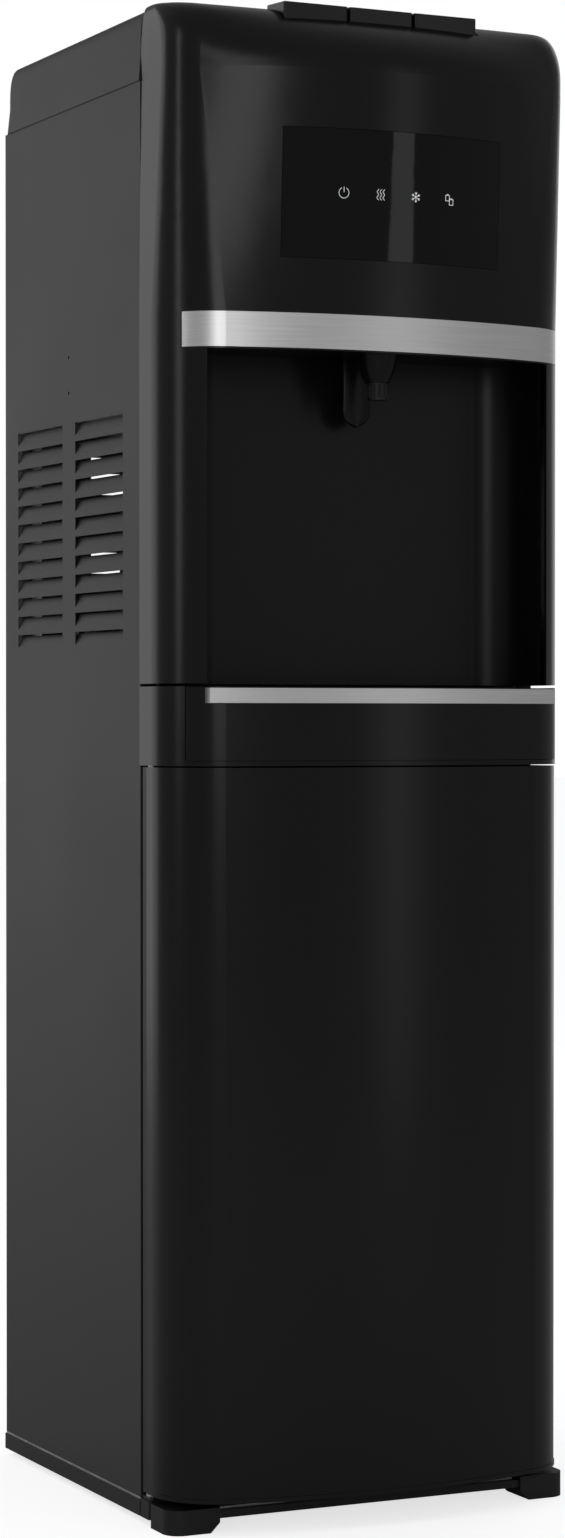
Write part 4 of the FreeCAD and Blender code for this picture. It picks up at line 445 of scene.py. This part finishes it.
def heat_symbol():
    """Three rising waves, each of short strokes that lean left and right."""
    strokes = []
    run = SYMBOL_R * 0.62
    for column in (-1, 0, 1):
        for row in range(4):
            lean = math.radians(38 if row % 2 else -38)
            strokes.append(bar((column * SYMBOL_R * 0.62, (row - 1.5) * run * 0.86), run, lean))
    return strokes


def cold_symbol():
    """Six-armed snowflake with two twigs on each arm."""
    strokes = []
    for arm in range(6):
        turn = arm * math.pi / 3
        along = Vector((math.sin(turn), math.cos(turn)))
        strokes.append(bar(along * SYMBOL_R * 0.5, SYMBOL_R, turn))
        for side in (-1, 1):
            lean = turn + side * math.pi / 4
            twig = Vector((math.sin(lean), math.cos(lean)))
            strokes.append(bar(along * SYMBOL_R * 0.6 + twig * SYMBOL_R * 0.16, SYMBOL_R * 0.34, lean))
    return strokes


def outline_bottle(x, z, wide, tall):
    """Outline of a small bottle: four sides and a neck."""
    strokes = []
    for side in (-1, 1):
        strokes.append(bar((x + side * wide / 2, z), tall, 0))
        strokes.append(bar((x, z + side * tall / 2), wide + STROKE, math.pi / 2))
    strokes.append(bar((x, z + tall / 2 + wide * 0.2), wide * 0.5, math.pi / 2))
    return strokes


def refill_symbol():
    left = outline_bottle(-SYMBOL_R * 0.42, SYMBOL_R * 0.34, SYMBOL_R * 0.85, SYMBOL_R * 1.05)
    return left + outline_bottle(SYMBOL_R * 0.45, -SYMBOL_R * 0.42, SYMBOL_R * 0.85, SYMBOL_R * 1.05)


def lay_on_window(piece):
    """Move each vertex back on to the window's curved and leaning face."""
    window = frame["nodes"]["display_window"]
    for vertex in piece.data.vertices:
        start = Vector((vertex.co.x, CAD_LOW.y - RAY_START, vertex.co.z))
        hit, place, _, _ = window.ray_cast(start, Vector((0, 1, 0)))
        if hit:
            vertex.co.y += place.y


symbol_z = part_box("display_window")[1].z - SYMBOL_DROP
symbol_material = symbol_print()
symbols = (("power_symbol", power_symbol), ("heat_symbol", heat_symbol),
           ("cold_symbol", cold_symbol), ("refill_symbol", refill_symbol))
for index, (name, draw) in enumerate(symbols):
    symbol = join(draw(), name)
    symbol.location = ((index - (len(symbols) - 1) / 2) * SYMBOL_PITCH, 0, symbol_z)
    settle(symbol, name)
    lay_on_window(symbol)
    add_piece(symbol, "casing", "white_plastic", symbol_material)


# ---------------------------------------------------------------- cup paddle
def cup_paddle():
    """Tongue with a rounded tip and a raised rim, thinner and curved forward at its lower end."""
    low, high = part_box("cup_paddle")
    middle = (low.x + high.x) / 2
    half = (high.x - low.x) / 2
    front = low.y + TONGUE_SET
    top = high.z - TONGUE_TOP
    tall = top - low.z
    blade = block("cup_paddle_tongue", (low.x, front, low.z), (high.x, front + TONGUE_T, top))
    subdivide(blade, 15)
    for vertex in blade.data.vertices:
        share = (vertex.co.z - low.z) / tall
        reach = (vertex.co.x - middle) / half
        below = max(0.0, 1 - share * tall / half)
        width = math.sqrt(max(0.0, 1 - below ** 2))
        vertex.co.x = middle + reach * half * max(width, TONGUE_TIP)
        vertex.co.y += RIM_RISE * reach * reach - TONGUE_BOW * math.sin(math.pi * share)
    step = blade.modifiers.new("soft", "SUBSURF")
    step.levels = 1
    step.render_levels = 1
    pick(blade)
    bpy.ops.object.modifier_apply(modifier=step.name)
    bpy.ops.object.shade_smooth()
    hub = drum("cup_paddle_hub", (middle, (low.y + high.y) / 2, high.z - HUB_DROP), HUB_R,
               high.x - low.x, 40, "X")
    bevel(hub, HUB_EDGE)
    return join([blade, hub], "cup_paddle_moulding")


paddle = add_piece(cup_paddle(), "paddle", "bay_black")
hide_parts("cup_paddle")


# ---------------------------------------------------------------- back panel screws
def screw_head(x, z, y):
    """Domed head with a driver socket."""
    head = drum("screw_head", (x, y + SCREW_H / 2, z), SCREW_R, SCREW_H, 24, "Y")
    choose(head, "FACE", lambda face: face.normal.y > 0.9)
    bpy.ops.mesh.inset(thickness=SOCKET_RIM)
    bpy.ops.mesh.extrude_region_move(TRANSFORM_OT_translate={"value": (0, -SOCKET_DEEP, 0)})
    leave_edit()
    bevel(head, SCREW_EDGE, 3)
    return head


def back_screws():
    low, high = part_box("casing_screws")
    pitch = (high.z - low.z - 2 * SCREW_R) / (SCREW_ROWS - 1)
    heads = []
    for x in (low.x + SCREW_R, high.x - SCREW_R):
        for row in range(SCREW_ROWS):
            heads.append(screw_head(x, low.z + SCREW_R + row * pitch, low.y))
    return join(heads, "back_panel_screws")


screws = add_piece(back_screws(), "casing", "steel_pin")
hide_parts("casing_screws")


# ---------------------------------------------------------------- studio
def floor():
    """Plain floor. Camera rays see it lifted, and the machine reflects it unlifted."""
    bpy.ops.object.select_all(action="DESELECT")
    bpy.ops.mesh.primitive_plane_add(size=FLOOR_SIZE, location=(0, 0, 0))
    plane = settle(bpy.context.object, "studio_floor")
    material, nodes, links, shader = new_finish("studio_floor", 0.9, specular=0.1)
    shader.inputs["Base Color"].default_value = FLOOR_COLOUR
    path = nodes.new("ShaderNodeLightPath")
    lift = nodes.new("ShaderNodeMath")
    lift.operation = "MULTIPLY"
    lift.inputs[1].default_value = FLOOR_LIFT
    links.new(path.outputs["Is Camera Ray"], lift.inputs[0])
    shader.inputs["Emission Color"].default_value = WHITE
    links.new(lift.outputs[0], shader.inputs["Emission Strength"])
    coat(plane, material)


def sky():
    """White backdrop round a dim room, so that the soft boxes shape the black surfaces."""
    world = bpy.data.worlds.new("studio")
    world.use_nodes = True
    nodes = world.node_tree.nodes
    links = world.node_tree.links
    room = nodes["Background"]
    room.inputs["Color"].default_value = WHITE
    room.inputs["Strength"].default_value = ROOM_LIGHT
    backdrop = nodes.new("ShaderNodeBackground")
    backdrop.inputs["Color"].default_value = WHITE
    backdrop.inputs["Strength"].default_value = BACKDROP
    path = nodes.new("ShaderNodeLightPath")
    choice = nodes.new("ShaderNodeMixShader")
    links.new(path.outputs["Is Camera Ray"], choice.inputs[0])
    links.new(room.outputs[0], choice.inputs[1])
    links.new(backdrop.outputs[0], choice.inputs[2])
    links.new(choice.outputs[0], nodes["World Output"].inputs["Surface"])
    bpy.context.scene.world = world


def soft_box(name, place, aim, wide, tall, brightness):
    """Rectangular light of a given surface brightness."""
    lamp = bpy.data.lights.new(name, "AREA")
    lamp.shape = "RECTANGLE"
    lamp.size = wide
    lamp.size_y = tall
    lamp.energy = math.pi * wide * tall * brightness
    holder = bpy.data.objects.new(name, lamp)
    bpy.context.scene.collection.objects.link(holder)
    holder.location = place
    holder.rotation_euler = (Vector(aim) - Vector(place)).to_track_quat("-Z", "Y").to_euler()
    holder.visible_camera = False


def camera():
    data = bpy.data.cameras.new("camera")
    data.lens = CAMERA_LENS
    holder = bpy.data.objects.new("camera", data)
    bpy.context.scene.collection.objects.link(holder)
    ahead = Vector((math.sin(CAMERA_TURN) * math.cos(CAMERA_DOWN),
                    math.cos(CAMERA_TURN) * math.cos(CAMERA_DOWN), -math.sin(CAMERA_DOWN)))
    holder.location = CAMERA_AT
    holder.rotation_euler = ahead.to_track_quat("-Z", "Y").to_euler()
    bpy.context.scene.camera = holder


bpy.context.scene.view_settings.view_transform = "Standard"
floor()
sky()
for name, setting in SOFT_BOXES.items():
    soft_box(name, *setting)
camera()
